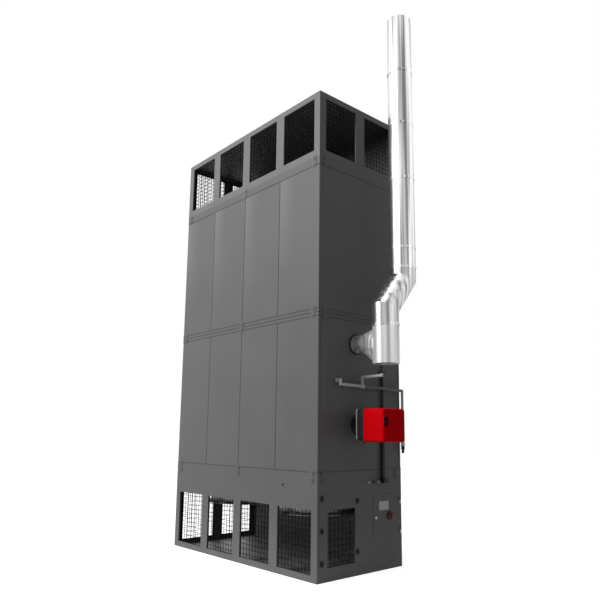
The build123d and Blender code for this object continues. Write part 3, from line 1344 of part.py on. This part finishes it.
band_places = [(FLUE_Y, TEE_TOP_Z)] + [(STACK_Y, z) for z in pipe_ends[:-1]]
with BuildPart() as flue_bands:
    for band_y, band_z in band_places:
        with BuildSketch(Plane.XY.offset(band_z - BAND_HEIGHT / 2)):
            with Locations((FLUE_X, band_y)):
                Circle(FLUE_RADIUS + BAND_THICKNESS)
            with Locations((FLUE_X + FLUE_RADIUS + BAND_THICKNESS, band_y)):
                Rectangle(BAND_LUG, BAND_LUG)
            with Locations((FLUE_X, band_y)):
                Circle(FLUE_RADIUS + LOOSE_FIT, mode=Mode.SUBTRACT)
        extrude(amount=BAND_HEIGHT)
PIECES["flue_bands"] = flue_bands.part

# Condensate drain
branch_share = (BRANCH_Y - DRAIN_WALL_Y) / (DRAIN_CORNER_Y - DRAIN_WALL_Y)
BRANCH_FOOT_Z = DRAIN_RUN_Z - branch_share * DRAIN_FALL
main_route = [
    (HALF_X - PANEL_RETURN, DRAIN_WALL_Y, DRAIN_WALL_Z),
    (DRAIN_PIPE_X, DRAIN_WALL_Y, DRAIN_WALL_Z),
    (DRAIN_PIPE_X, DRAIN_WALL_Y, DRAIN_RUN_Z),
    (DRAIN_PIPE_X, DRAIN_CORNER_Y, DRAIN_CORNER_Z),
    (DRAIN_PIPE_X, DRAIN_CORNER_Y, DRAIN_FOOT_Z),
]
branch_route = [
    (DRAIN_PIPE_X, BRANCH_Y, BRANCH_FOOT_Z),
    (DRAIN_PIPE_X, BRANCH_Y, BRANCH_Z),
    (DRAIN_X, BRANCH_Y, BRANCH_Z),
    (DRAIN_X, BRANCH_Y, TEE_LOW_Z - DRAIN_SPOUT_LENGTH),
]


def pipe_along(route, start_normal):
    """A plastic waste pipe with mitred knees."""
    with BuildPart() as pipe:
        with BuildLine() as path:
            Polyline(*route)
        with BuildSketch(Plane(origin=route[0], z_dir=start_normal)):
            Circle(DRAIN_RADIUS)
        sweep(path=path.wires()[0], transition=Transition.RIGHT)
    return pipe.part


with BuildPart() as condensate_pipe:
    add(pipe_along(main_route, (1, 0, 0)))
    add(pipe_along(branch_route, (0, 0, 1)))
    with BuildSketch(Plane(origin=(DRAIN_PIPE_X, BRANCH_Y, BRANCH_FOOT_Z), z_dir=(0, 1, 0))):
        Circle(FITTING_RADIUS)
    extrude(amount=FITTING_LENGTH, both=True)
    with BuildSketch(Plane(origin=(HALF_X, DRAIN_WALL_Y, DRAIN_WALL_Z), z_dir=(1, 0, 0))):
        Circle(FITTING_RADIUS + SHEET)
    extrude(amount=FITTING_LENGTH / 2)
PIECES["condensate_pipe"] = condensate_pipe.part

TRAP_LOW_Z = DRAIN_FOOT_Z - TRAP_HEIGHT
with BuildPart() as condensate_trap:
    with BuildSketch(Plane.XY.offset(TRAP_LOW_Z)):
        with Locations((DRAIN_PIPE_X, DRAIN_CORNER_Y)):
            Circle(TRAP_RADIUS - SHEET)
    extrude(amount=TRAP_HEIGHT - TRAP_CAP)
    with BuildSketch(Plane.XY.offset(DRAIN_FOOT_Z - TRAP_CAP)):
        with Locations((DRAIN_PIPE_X, DRAIN_CORNER_Y)):
            Circle(TRAP_RADIUS)
    extrude(amount=TRAP_CAP)
    with BuildSketch(Plane.XY.offset(TRAP_LOW_Z)):
        with Locations((DRAIN_PIPE_X, DRAIN_CORNER_Y)):
            Circle(DRAIN_RADIUS)
    extrude(amount=-TRAP_OUTLET)
PIECES["condensate_trap"] = condensate_trap.part

# Cable conduit with its entry box and the gland row
with BuildPart() as conduit_run:
    with BuildSketch(Plane.XY.offset(CONDUIT_LOW_Z)):
        with Locations((CONDUIT_X, CONDUIT_Y)):
            Circle(CONDUIT_RADIUS)
    extrude(amount=CONDUIT_STEP_Z - CONDUIT_LOW_Z)
    with BuildSketch(Plane.XY.offset(CONDUIT_STEP_Z)):
        with Locations((CONDUIT_X, CONDUIT_Y)):
            Circle(CONDUIT_THIN_RADIUS)
    extrude(amount=CONDUIT_TOP_Z - CONDUIT_STEP_Z)
    for clip_z in SADDLE_CLIPS_Z:
        with BuildSketch(Plane.XY.offset(clip_z)):
            with Locations((HALF_X + CONDUIT_RADIUS / 2, CONDUIT_Y)):
                Rectangle(CONDUIT_RADIUS, 2 * CONDUIT_RADIUS)
        extrude(amount=CLIP_WIDTH)
    with BuildSketch(Plane.XY.offset(CONDUIT_TOP_Z)):
        with Locations((HALF_X + CONDUIT_RADIUS, CONDUIT_Y)):
            RectangleRounded(2 * CONDUIT_RADIUS, 2 * CONDUIT_RADIUS, SHEET)
    extrude(amount=CONDUIT_RADIUS)
with BuildPart() as entry_box:
    with BuildSketch(Plane.XY.offset(CONDUIT_LOW_Z - ENTRY_BOX_HEIGHT)):
        with Locations((HALF_X + ENTRY_BOX_WIDTH / 2, CONDUIT_Y)):
            Rectangle(ENTRY_BOX_WIDTH, ENTRY_BOX_WIDTH)
    extrude(amount=ENTRY_BOX_HEIGHT)
with BuildPart() as glands:
    with BuildSketch(across(HALF_X)):
        with Locations(*[(y, GLAND_Z) for y in GLANDS_Y]):
            RegularPolygon(GLAND_RADIUS, 6)
    extrude(amount=GLAND_LENGTH / 2)
    with BuildSketch(across(HALF_X + GLAND_LENGTH / 2)):
        with Locations(*[(y, GLAND_Z) for y in GLANDS_Y]):
            Circle(GLAND_RADIUS - SHEET)
    extrude(amount=GLAND_LENGTH / 2)
PIECES["wall_conduit"] = group([conduit_run.part, entry_box.part, glands.part])

# Outlet: frames, back, roof
outlet_windows = [(x, OUTLET_WINDOW_Z, WINDOW_WIDTH, WINDOW_HEIGHT) for x in window_xs]
outlet_end_windows = [(x, OUTLET_WINDOW_Z, END_WINDOW_WIDTH, WINDOW_HEIGHT) for x in end_window_xs]
OUTLET_RETURNS = (OUTLET_WALL_LOW, OUTLET_WALL_TOP - ROOF_HEM)
PIECES["outlet_front_frame"] = wall_sheet(
    "front", HALF_X, OUTLET_WALL_LOW, OUTLET_WALL_TOP, outlet_windows
)
PIECES["outlet_end_frames"] = group(
    [
        wall_sheet(side, END_SPAN, OUTLET_WALL_LOW, OUTLET_WALL_TOP, outlet_end_windows, OUTLET_RETURNS)
        for side in ("left", "right")
    ]
)
PIECES["outlet_back_panel"] = wall_sheet("back", HALF_X, OUTLET_WALL_LOW, OUTLET_WALL_TOP)

with BuildPart() as roof_panel:
    with BuildSketch(Plane.XY.offset(OUTLET_WALL_TOP)):
        Rectangle(WIDTH, DEPTH)
    extrude(amount=SHEET)
    with BuildSketch(Plane.XY.offset(OUTLET_WALL_TOP)):
        Rectangle(WIDTH - 2 * SHEET, DEPTH - 2 * SHEET)
        Rectangle(WIDTH - 4 * SHEET, DEPTH - 4 * SHEET, mode=Mode.SUBTRACT)
    extrude(amount=-ROOF_HEM)
PIECES["roof_panel"] = roof_panel.part

for label, piece in PIECES.items():
    piece.label = label
    export_step(piece, f"parts/{label}.step")
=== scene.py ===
"""How the air rotation heater looks: finishes for its sheet metal and machines, and the fine pieces."""

import math

import bpy
import mathutils
import numpy as np
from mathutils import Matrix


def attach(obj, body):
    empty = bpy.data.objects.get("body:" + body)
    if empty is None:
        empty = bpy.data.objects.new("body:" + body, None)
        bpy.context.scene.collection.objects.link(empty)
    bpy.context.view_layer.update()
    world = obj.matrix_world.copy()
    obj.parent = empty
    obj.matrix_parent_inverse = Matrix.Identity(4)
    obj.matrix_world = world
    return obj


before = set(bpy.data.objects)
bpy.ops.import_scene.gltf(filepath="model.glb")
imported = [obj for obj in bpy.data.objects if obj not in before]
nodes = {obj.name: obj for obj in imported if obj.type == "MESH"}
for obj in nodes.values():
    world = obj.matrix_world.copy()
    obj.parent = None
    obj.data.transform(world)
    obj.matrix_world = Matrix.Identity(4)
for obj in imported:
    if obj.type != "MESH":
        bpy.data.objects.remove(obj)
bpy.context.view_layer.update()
scene = bpy.context.scene

# Camera: low off the near corner, as in the photograph, and looking slightly up. Its lens and shifts
# come from a fit to the photograph, whose square frame gives the pixels their scale.
scene.view_settings.view_transform = "Standard"
frame_pixels = 600
focal_pixels = 608.6
centre_column, centre_row = 325.8, 328.2
eye = bpy.data.cameras.new("studio_camera")
eye.sensor_width = 36.0
eye.lens = focal_pixels / frame_pixels * 36.0
eye.shift_x = -(centre_column - frame_pixels / 2) / frame_pixels
eye.shift_y = (centre_row - frame_pixels / 2) / frame_pixels
eye.clip_end = 200.0
camera = bpy.data.objects.new("studio_camera", eye)
scene.collection.objects.link(camera)
azimuth, pitch, roll = (math.radians(degrees) for degrees in (47.37, 9.69, -0.28))
camera.location = (5.555, -4.419, 1.343)
camera.rotation_mode = "XYZ"
camera.rotation_euler = (math.pi / 2 + pitch, roll, azimuth)
scene.camera = camera

# Lamps: a large soft lamp ahead of the mesh windows, a weak one for the burner end, and one overhead.
# Each is a square that faces its target.
for lamp_name, place, target, size, watts in (
    ("front_softbox", (-2.6, -9.0, 7.0), (0.0, -0.6, 3.0), 5.0, 1330.0),
    ("end_softbox", (9.0, 1.5, 5.5), (1.3, 0.0, 2.4), 3.0, 22.0),
    ("top_softbox", (0.5, -1.0, 11.0), (0.5, 0.0, 4.8), 5.0, 250.0),
):
    lamp_data = bpy.data.lights.new(lamp_name, "AREA")
    lamp_data.shape = "SQUARE"
    lamp_data.size = size
    lamp_data.energy = watts
    lamp = bpy.data.objects.new(lamp_name, lamp_data)
    scene.collection.objects.link(lamp)
    aim_x, aim_y, aim_z = np.array(target) - np.array(place)
    lamp.location = place
    lamp.rotation_euler = (math.atan2(math.hypot(aim_x, aim_y), -aim_z), 0.0, math.atan2(-aim_x, aim_y))


# Room: white all round. The camera and whatever mirrors it see it at full strength, while its light
# on the sheet metal is weak, so that the lamps give the cabinet its shading.
def add_node(tree, kind, feeds, **settings):
    """A node of this kind and these settings, each input fed with its value or the socket given."""
    node = tree.nodes.new("ShaderNode" + kind)
    for setting, value in settings.items():
        setattr(node, setting, value)
    for socket, value in feeds.items():
        if isinstance(value, bpy.types.NodeSocket):
            tree.links.new(value, node.inputs[socket])
        else:
            node.inputs[socket].default_value = value
    return node


def seen_level(tree, lighting, seen):
    """A socket that is seen for camera, glossy and transmission rays and lighting for the others."""
    rays = add_node(tree, "LightPath", {})
    mirrors = {0: rays.outputs["Is Glossy Ray"], 1: rays.outputs["Is Transmission Ray"]}
    mirrored = add_node(tree, "Math", mirrors, operation="MAXIMUM")
    views = {0: rays.outputs["Is Camera Ray"], 1: mirrored.outputs[0]}
    viewed = add_node(tree, "Math", views, operation="MAXIMUM")
    level = add_node(tree, "MapRange", {"Value": viewed.outputs[0], "To Min": lighting, "To Max": seen})
    return level.outputs["Result"]


room = bpy.data.worlds.new("white_room")
scene.world = room
room.use_nodes = True
room_tree = room.node_tree
room_light = room_tree.nodes["Background"]
room_light.inputs["Color"].default_value = (1.0, 1.0, 1.0, 1.0)
room_tree.links.new(seen_level(room_tree, lighting=0.175, seen=1.0), room_light.inputs["Strength"])


# Floor: white paper just under the machine. It is partly a glow, strong for the camera and in mirrors,
# so it runs into the room without an edge and keeps only a soft shadow.
def new_finish(finish_name):
    """A material of this name with its node tree and its Principled shader."""
    finish = bpy.data.materials.new(finish_name)
    finish.use_nodes = True
    return finish, finish.node_tree, finish.node_tree.nodes["Principled BSDF"]


floor_reach = 30.0
floor_drop = 0.002
floor_edge = np.linspace(-floor_reach, floor_reach, 2)
floor_u, floor_v = np.meshgrid(floor_edge, floor_edge)
floor_corners = np.stack([floor_u.ravel(), floor_v.ravel(), np.full(4, -floor_drop)], axis=1)
floor_mesh = bpy.data.meshes.new("studio_floor")
floor_mesh.from_pydata(floor_corners.tolist(), [], [(0, 1, 3, 2)])
studio_floor = bpy.data.objects.new("studio_floor", floor_mesh)
scene.collection.objects.link(studio_floor)
floor_paper, paper_tree, paper_shader = new_finish("white_paper")
paper_shader.inputs["Base Color"].default_value = (0.9, 0.9, 0.9, 1.0)
paper_shader.inputs["Roughness"].default_value = 1.0
paper_level = seen_level(paper_tree, lighting=0.2, seen=2.1)
paper_glow = add_node(paper_tree, "Emission", {"Color": (1.0, 1.0, 1.0, 1.0), "Strength": paper_level})
glow_share = 0.42
paper_feeds = {"Fac": glow_share, 1: paper_shader.outputs["BSDF"], 2: paper_glow.outputs["Emission"]}
paper_mix = add_node(paper_tree, "MixShader", paper_feeds)
paper_tree.links.new(paper_mix.outputs["Shader"], paper_tree.nodes["Material Output"].inputs["Surface"])
floor_mesh.materials.append(floor_paper)

# Cabinet sheet: panels, frames, rails and bolt heads, powder coated in a dark satin grey. The coat has
# a faint orange peel, cloudy gloss, and dust that gathers towards the floor.
powder = bpy.data.node_groups.new("powder_coat", "ShaderNodeTree")
for in_out, socket_name, kind in (
    ("INPUT", "Colour", "NodeSocketColor"),
    ("INPUT", "Dust", "NodeSocketFloat"),
    ("INPUT", "Peel", "NodeSocketFloat"),
    ("OUTPUT", "Colour", "NodeSocketColor"),
    ("OUTPUT", "Roughness", "NodeSocketFloat"),
    ("OUTPUT", "Normal", "NodeSocketVector"),
):
    powder.interface.new_socket(name=socket_name, in_out=in_out, socket_type=kind)
powder_in = powder.nodes.new("NodeGroupInput")
powder_out = powder.nodes.new("NodeGroupOutput")
powder_place = add_node(powder, "TexCoord", {}).outputs["Object"]
cloud_feeds = {"Vector": powder_place, "Scale": 1.6, "Detail": 5.0}
cloud = add_node(powder, "TexNoise", cloud_feeds).outputs["Fac"]
grain_feeds = {"Vector": powder_place, "Scale": 420.0, "Detail": 2.0}
grain = add_node(powder, "TexNoise", grain_feeds).outputs["Fac"]
height = add_node(powder, "SeparateXYZ", {"Vector": powder_place}).outputs["Z"]
dust_top = 0.5
low_down = add_node(
    powder, "MapRange", {"Value": height, "From Min": 0.0, "From Max": dust_top, "To Min": 1.0, "To Max": 0.0}
)
dusty = add_node(powder, "Math", {0: low_down.outputs["Result"], 1: cloud}, operation="MULTIPLY")
dust_feeds = {0: dusty.outputs[0], 1: powder_in.outputs["Dust"]}
dust_share = add_node(powder, "Math", dust_feeds, operation="MULTIPLY")
cloud_range = {"Value": cloud, "From Min": 0.3, "From Max": 0.7}
shade = add_node(powder, "MapRange", {**cloud_range, "To Min": 0.93, "To Max": 1.07})
shade_feeds = {0: powder_in.outputs["Colour"], "Scale": shade.outputs["Result"]}
shaded = add_node(powder, "VectorMath", shade_feeds, operation="SCALE")
dusted = add_node(
    powder,
    "Mix",
    {"Factor": dust_share.outputs[0], "A": shaded.outputs["Vector"], "B": (0.30, 0.28, 0.25, 1.0)},
    data_type="RGBA",
)
gloss = add_node(powder, "MapRange", {**cloud_range, "To Min": 0.42, "To Max": 0.56})
peel_feeds = {"Distance": 0.0004, "Strength": powder_in.outputs["Peel"], "Height": grain}
peel_bump = add_node(powder, "Bump", peel_feeds)
powder.links.new(dusted.outputs["Result"], powder_out.inputs["Colour"])
powder.links.new(gloss.outputs["Result"], powder_out.inputs["Roughness"])
powder.links.new(peel_bump.outputs["Normal"], powder_out.inputs["Normal"])


def powder_coated(finish_name, colour, dust, peel, specular=0.18):
    """A powder coated finish: clouded colour and gloss, dust towards the floor, a fine orange peel."""
    finish, tree, shader = new_finish(finish_name)
    shader.inputs["Specular IOR Level"].default_value = specular
    coat = tree.nodes.new("ShaderNodeGroup")
    coat.node_tree = powder
    coat.inputs["Colour"].default_value = (*colour, 1.0)
    coat.inputs["Dust"].default_value = dust
    coat.inputs["Peel"].default_value = peel
    tree.links.new(coat.outputs["Colour"], shader.inputs["Base Color"])
    tree.links.new(coat.outputs["Roughness"], shader.inputs["Roughness"])
    tree.links.new(coat.outputs["Normal"], shader.inputs["Normal"])
    return finish


def dress(node_names, finish):
    """Each of these CAD pieces gets the finish in place of its plain colour."""
    for node_name in node_names:
        slots = nodes[node_name].data.materials
        slots.clear()
        slots.append(finish)


cabinet_grey = (0.085, 0.085, 0.088)
cabinet_pieces = (
    "base_front_frame", "base_left_frame", "base_right_frame", "base_back_panel", "service_panel",
    "back_panels", "left_end_panels", "lower_right_panel", "upper_right_panel", "outlet_end_frames",
    "outlet_back_panel", "roof_panel", "section_rails", "joint_plates",
)
dress(cabinet_pieces, powder_coated("cabinet_grey_coat", cabinet_grey, dust=0.35, peel=0.25))
outlet_coat = powder_coated("outlet_frame_coat", (0.112, 0.113, 0.114), dust=0.2, peel=0.25)
dress(("outlet_front_frame",), outlet_coat)
bolt_coat = powder_coated("painted_bolt_heads", (0.13, 0.13, 0.13), dust=0.2, peel=0.1)
dress(("flange_bolts",), bolt_coat)

# Front panels: a highlight is painted into the colour beside the left fold of every bay and fades across
# it, most of all high up, where the panels meet the lamp.
bay_width = 0.64
highlight_bottom, highlight_top = 2.6, 4.1
fade_share = 0.45
highlight_gain, low_gain, plain_gain = 0.42, 0.05, 1.03
front_highlight_coat = powder_coated("front_panel_coat_painted_highlight", cabinet_grey, dust=0.35, peel=0.25)
front_tree = front_highlight_coat.node_tree
front_colour_in = front_tree.nodes["Principled BSDF"].inputs["Base Color"]
front_place = add_node(front_tree, "TexCoord", {}).outputs["Object"]
front_axes = add_node(front_tree, "SeparateXYZ", {"Vector": front_place}).outputs
bay_place = add_node(front_tree, "Math", {0: front_axes["X"], 1: bay_width}, operation="DIVIDE")
bay_share = add_node(front_tree, "Math", {0: bay_place.outputs[0]}, operation="FRACT")
# Painted highlight: the colour is scaled up beside each bay's left fold and high on the panels.
fold_highlight = add_node(
    front_tree,
    "MapRange",
    {"Value": bay_share.outputs[0], "From Max": fade_share, "To Min": highlight_gain, "To Max": 0.0},
    interpolation_type="SMOOTHSTEP",
)
high_up = add_node(
    front_tree,
    "MapRange",
    {"Value": front_axes["Z"], "From Min": highlight_bottom, "From Max": highlight_top, "To Min": low_gain},
    interpolation_type="SMOOTHSTEP",
)
highlight_feeds = {0: fold_highlight.outputs["Result"], 1: high_up.outputs["Result"]}
painted_highlight = add_node(front_tree, "Math", highlight_feeds, operation="MULTIPLY")
lightened = add_node(front_tree, "Math", {0: painted_highlight.outputs[0], 1: plain_gain}, operation="ADD")
front_feeds = {0: front_colour_in.links[0].from_socket, "Scale": lightened.outputs[0]}
front_colour = add_node(front_tree, "VectorMath", front_feeds, operation="SCALE")
front_tree.links.new(front_colour.outputs["Vector"], front_colour_in)
dress(("front_panels",), front_highlight_coat)


# Control door: the cabinet's own coat, with one bare pale plate where the photograph has a small one.
# Nothing is written on it.
def recolour(finish, colour, limits):
    """Another colour for the finish where the Object coordinates lie within the limits of each axis."""
    tree = finish.node_tree
    colour_in = tree.nodes["Principled BSDF"].inputs["Base Color"]
    place = add_node(tree, "TexCoord", {}).outputs["Object"]
    axes = add_node(tree, "SeparateXYZ", {"Vector": place}).outputs
    inside = 1.0
    for axis, low, high in limits:
        span = {0: axes[axis], 1: (low + high) / 2, 2: (high - low) / 2}
        within = add_node(tree, "Math", span, operation="COMPARE")
        inside = add_node(tree, "Math", {0: within.outputs[0], 1: inside}, operation="MULTIPLY").outputs[0]
    blend_feeds = {"Factor": inside, "A": colour_in.links[0].from_socket, "B": (*colour, 1.0)}
    blend = add_node(tree, "Mix", blend_feeds, data_type="RGBA")
    tree.links.new(blend.outputs["Result"], colour_in)


plate_box = (("X", 1.2815, 1.3), ("Y", 0.245, 0.385), ("Z", 0.573, 0.66))
door_coat = powder_coated("door_grey_coat", cabinet_grey, dust=0.35, peel=0.25)
recolour(door_coat, (0.42, 0.42, 0.41), plate_box)
dress(("control_door",), door_coat)

# Seams between the sections: thin dark lips of sealing strip, where the flanges of two sections meet.
# Three run round the cabinet at its middle joint, one under the lower and one over the upper panels.
seam_dark = powder_coated("seam_strip", (0.04, 0.04, 0.041), dust=0.1, peel=0.0)


def piece_corners(node_name):
    """The least and the greatest corner of a CAD piece's box, in metres."""
    piece = nodes[node_name]
    corners = np.array([piece.matrix_world @ mathutils.Vector(corner) for corner in piece.bound_box])
    return corners.min(axis=0), corners.max(axis=0)


def seam_lip(lip_name, level, low, high, radius):
    """A round lip along the four walls: at corner k of the wall rectangle the profile's point phi lies
    radius * cos(phi) outward along both walls' normals and radius * sin(phi) above the seam's level."""
    steps = 12
    phi = np.arange(steps) * 2 * np.pi / steps
    side_x = np.array([-1.0, 1.0, 1.0, -1.0])[:, None]
    side_y = np.array([-1.0, -1.0, 1.0, 1.0])[:, None]
    xs = np.where(side_x > 0, high[0], low[0]) + side_x * radius * np.cos(phi)
    ys = np.where(side_y > 0, high[1], low[1]) + side_y * radius * np.cos(phi)
    zs = np.broadcast_to(level + radius * np.sin(phi), xs.shape)
    points = np.stack([xs, ys, zs], axis=-1).reshape(-1, 3)
    corner, step = np.meshgrid(np.arange(4), np.arange(steps), indexing="ij")
    here, after = corner * steps, (corner + 1) % 4 * steps
    above = (step + 1) % steps
    quads = np.stack([here + step, after + step, after + above, here + above], axis=-1).reshape(-1, 4)
    lip_mesh = bpy.data.meshes.new(lip_name)
    lip_mesh.from_pydata(points.tolist(), [], quads.tolist())
    lip_mesh.materials.append(seam_dark)
    lip = bpy.data.objects.new(lip_name, lip_mesh)
    scene.collection.objects.link(lip)
    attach(lip, "cabinet")


lip_radius = 0.0035
lip_spacing = 0.038
lower_low, lower_high = piece_corners("lower_right_panel")
upper_low, upper_high = piece_corners("upper_right_panel")
front_y = piece_corners("front_panels")[0][1]
back_y = piece_corners("back_panels")[1][1]
middle = (lower_high[2] + upper_low[2]) / 2
for lip_name, level in (
    ("seam_low", lower_low[2]),
    ("seam_middle_low", middle - lip_spacing),
    ("seam_middle", middle),
    ("seam_middle_high", middle + lip_spacing),
    ("seam_high", upper_high[2]),
):
    seam_lip(lip_name, level, (-lower_high[0], front_y), (lower_high[0], back_y), lip_radius)

# Inner sheet: floor plate, fan deck, casings, spiders, cradles, damper, hinges, lock and the control box
# of zinc coated steel. Hot dip zinc shows soft crystals, a shade apart from one another.
spangle_finish, spangle_tree, spangle_shader = new_finish("zinc_coated_sheet")
spangle_shader.inputs["Metallic"].default_value = 0.85
spangle_place = add_node(spangle_tree, "TexCoord", {}).outputs["Object"]
spangle = add_node(spangle_tree, "TexVoronoi", {"Vector": spangle_place, "Scale": 70.0})
crystal = add_node(spangle_tree, "SeparateColor", {"Color": spangle.outputs["Color"]}).outputs
spangle_shade = add_node(
    spangle_tree, "MapRange", {"Value": crystal["Red"], "To Min": 0.26, "To Max": 0.42}
)
spangle_gloss = add_node(
    spangle_tree, "MapRange", {"Value": crystal["Green"], "To Min": 0.38, "To Max": 0.6}
)
spangle_tree.links.new(spangle_shade.outputs["Result"], spangle_shader.inputs["Base Color"])
spangle_tree.links.new(spangle_gloss.outputs["Result"], spangle_shader.inputs["Roughness"])
inner_pieces = (
    "floor_plate", "fan_deck", "fan_casings", "motor_spiders", "exchanger_cradles", "control_enclosure",
    "air_damper", "door_hinges", "door_lock",
)
dress(inner_pieces, spangle_finish)

# Black enamel and plastic: burner housing, collar and motor, the flue's wall collar, the switch, the
# service panel's fixings and the reset button. It is smooth, and slightly uneven in gloss.
black_pieces = (
    "burner_body", "burner_collar", "burner_motor", "flue_collar", "isolator_switch", "service_fixings",
    "reset_button",
)
dress(black_pieces, powder_coated("black_enamel", (0.012, 0.012, 0.013), dust=0.0, peel=0.12))

# Small painted pieces: the fan motors in dark grey, the isolator's dull red handle, the pale terminals
# in the control box, and the pale flange between the burner and its collar.
for piece_names, paint_name, colour, peel in (
    (("fan_motor_left", "fan_motor_right"), "motor_grey_paint", (0.05, 0.06, 0.07), 0.3),
    (("isolator_handle",), "handle_dull_red", (0.16, 0.035, 0.03), 0.05),
    (("control_gear",), "pale_plastic", (0.55, 0.55, 0.52), 0.05),
    (("burner_flange",), "flange_pale", (0.42, 0.42, 0.41), 0.05),
):
    dress(piece_names, powder_coated(paint_name, colour, 0.0, peel))

# Guards: dark wire in the windows at the foot and at the top. The wire is dull, so that nothing
# glints across the meshes.
guard_coat = powder_coated("guard_coat", (0.007, 0.007, 0.0075), dust=0.05, peel=0.0, specular=0.0)
dress(("inlet_guards", "outlet_guards"), guard_coat)

# Red hood: stove enamelled steel over the burner, in a deep red, with painted shade, near black, in the
# recess around the reset button. Its shine is faint, as in the photograph.
recess_shade_box = (("X", 1.735, 1.7605), ("Y", -0.199, -0.145), ("Z", 1.396, 1.484))
hood_red = powder_coated("burner_red_gloss", (0.46, 0.0, 0.003), dust=0.0, peel=0.05, specular=0.02)
# Painted shade: the recess around the reset button is coloured near black.
recolour(hood_red, (0.012, 0.012, 0.012), recess_shade_box)
dress(("burner_cover",), hood_red)

# Conduit and drain: a black conduit, two of its three glands pale, and a pale waste pipe with a black end
# under the tee and painted shade along its level run. The trap has a pale cap over a dark bowl.
gland_reach = 0.014
conduit_black = powder_coated("conduit_black", (0.01, 0.01, 0.011), dust=0.0, peel=0.1)
for gland_y in (0.093, 0.232):
    gland_box = (("X", 1.28, 1.31), ("Y", gland_y - gland_reach, gland_y + gland_reach), ("Z", 0.84, 0.87))
    recolour(conduit_black, (0.4, 0.4, 0.39), gland_box)
dress(("wall_conduit",), conduit_black)
hose_end = (("X", 1.5, 1.7), ("Z", 1.905, 2.0))
level_run_shade = (("Y", -0.015, 0.545), ("Z", 1.76, 1.82))
pipe_pale = powder_coated("waste_pipe_pale", (0.4, 0.4, 0.39), dust=0.0, peel=0.05)
recolour(pipe_pale, (0.012, 0.012, 0.013), hose_end)
# Painted shade: the level run, facing away from the lamps, is coloured dark grey.
recolour(pipe_pale, (0.1, 0.1, 0.1), level_run_shade)
dress(("condensate_pipe",), pipe_pale)
bowl_levels = (("Z", 1.1, 1.205),)
trap_pale = powder_coated("trap_pale", (0.55, 0.55, 0.52), dust=0.0, peel=0.05)
recolour(trap_pale, (0.02, 0.02, 0.021), bowl_levels)
dress(("condensate_trap",), trap_pale)

# Bright metal: shafts, impellers, the burner's wheel and the heat exchanger, of polished metal. A faint
# upright waviness breaks up what they mirror.
bright_metal, bright_tree, bright_shader = new_finish("polished_stainless")
bright_shader.inputs["Metallic"].default_value = 1.0
bright_shader.inputs["Base Color"].default_value = (0.62, 0.63, 0.65, 1.0)
bright_place = add_node(bright_tree, "TexCoord", {}).outputs["Object"]
bright_stretch = add_node(bright_tree, "Mapping", {"Vector": bright_place, "Scale": (9.0, 9.0, 1.2)})
wavy_feeds = {"Vector": bright_stretch.outputs["Vector"], "Scale": 2.0, "Detail": 3.0}
wavy = add_node(bright_tree, "TexNoise", wavy_feeds).outputs["Fac"]
bright_gloss = add_node(bright_tree, "MapRange", {"Value": wavy, "To Min": 0.14, "To Max": 0.34})
bright_bump = add_node(bright_tree, "Bump", {"Strength": 0.35, "Distance": 0.01, "Height": wavy})
bright_tree.links.new(bright_gloss.outputs["Result"], bright_shader.inputs["Roughness"])
bright_tree.links.new(bright_bump.outputs["Normal"], bright_shader.inputs["Normal"])
bright_pieces = (
    "fan_shaft_left", "fan_shaft_right", "impeller_left", "impeller_right", "burner_fan", "blast_tube",
    "combustion_drum", "reversal_box", "exchanger_tubes", "smoke_box",
)
dress(bright_pieces, bright_metal)


# Flue: bright rolled sheet whose long, uneven streaks run up the pipe and turn what it mirrors into
# bands. The boot and the tee are softer, and the tee's spout is black.
def streaked_sheet(finish_name, metallic, darkest, lightest):
    """Bright sheet: grey from darkest to lightest in long upright streaks, glossier where dark."""
    finish, tree, shader = new_finish(finish_name)
    shader.inputs["Metallic"].default_value = metallic
    place = add_node(tree, "TexCoord", {}).outputs["Object"]
    stretch = add_node(tree, "Mapping", {"Vector": place, "Scale": (24.0, 24.0, 0.35)})
    streak_feeds = {"Vector": stretch.outputs["Vector"], "Scale": 1.0, "Detail": 3.0}
    streak = add_node(tree, "TexNoise", streak_feeds).outputs["Fac"]
    shade_feeds = {"Value": streak, "From Min": 0.36, "From Max": 0.6, "To Min": darkest, "To Max": lightest}
    sheet_shade = add_node(tree, "MapRange", shade_feeds)
    sheet_gloss = add_node(tree, "MapRange", {"Value": streak, "To Min": 0.18, "To Max": 0.42})
    tree.links.new(sheet_shade.outputs["Result"], shader.inputs["Base Color"])
    tree.links.new(sheet_gloss.outputs["Result"], shader.inputs["Roughness"])
    return finish


pipe_sheet = streaked_sheet("flue_bright_sheet", metallic=1.0, darkest=0.2, lightest=0.95)
dress(("flue_pipes", "flue_bands"), pipe_sheet)
dress(("flue_elbows",), streaked_sheet("elbow_bright_sheet", metallic=1.0, darkest=0.24, lightest=0.72))
spout_levels = (("Z", 1.9, 1.9885),)
tee_sheet = streaked_sheet("tee_soft_sheet", metallic=0.6, darkest=0.42, lightest=0.9)
recolour(tee_sheet, (0.01, 0.01, 0.01), spout_levels)
dress(("flue_tee",), tee_sheet)
dress(("flue_boot",), streaked_sheet("boot_soft_sheet", metallic=0.6, darkest=0.36, lightest=0.72))
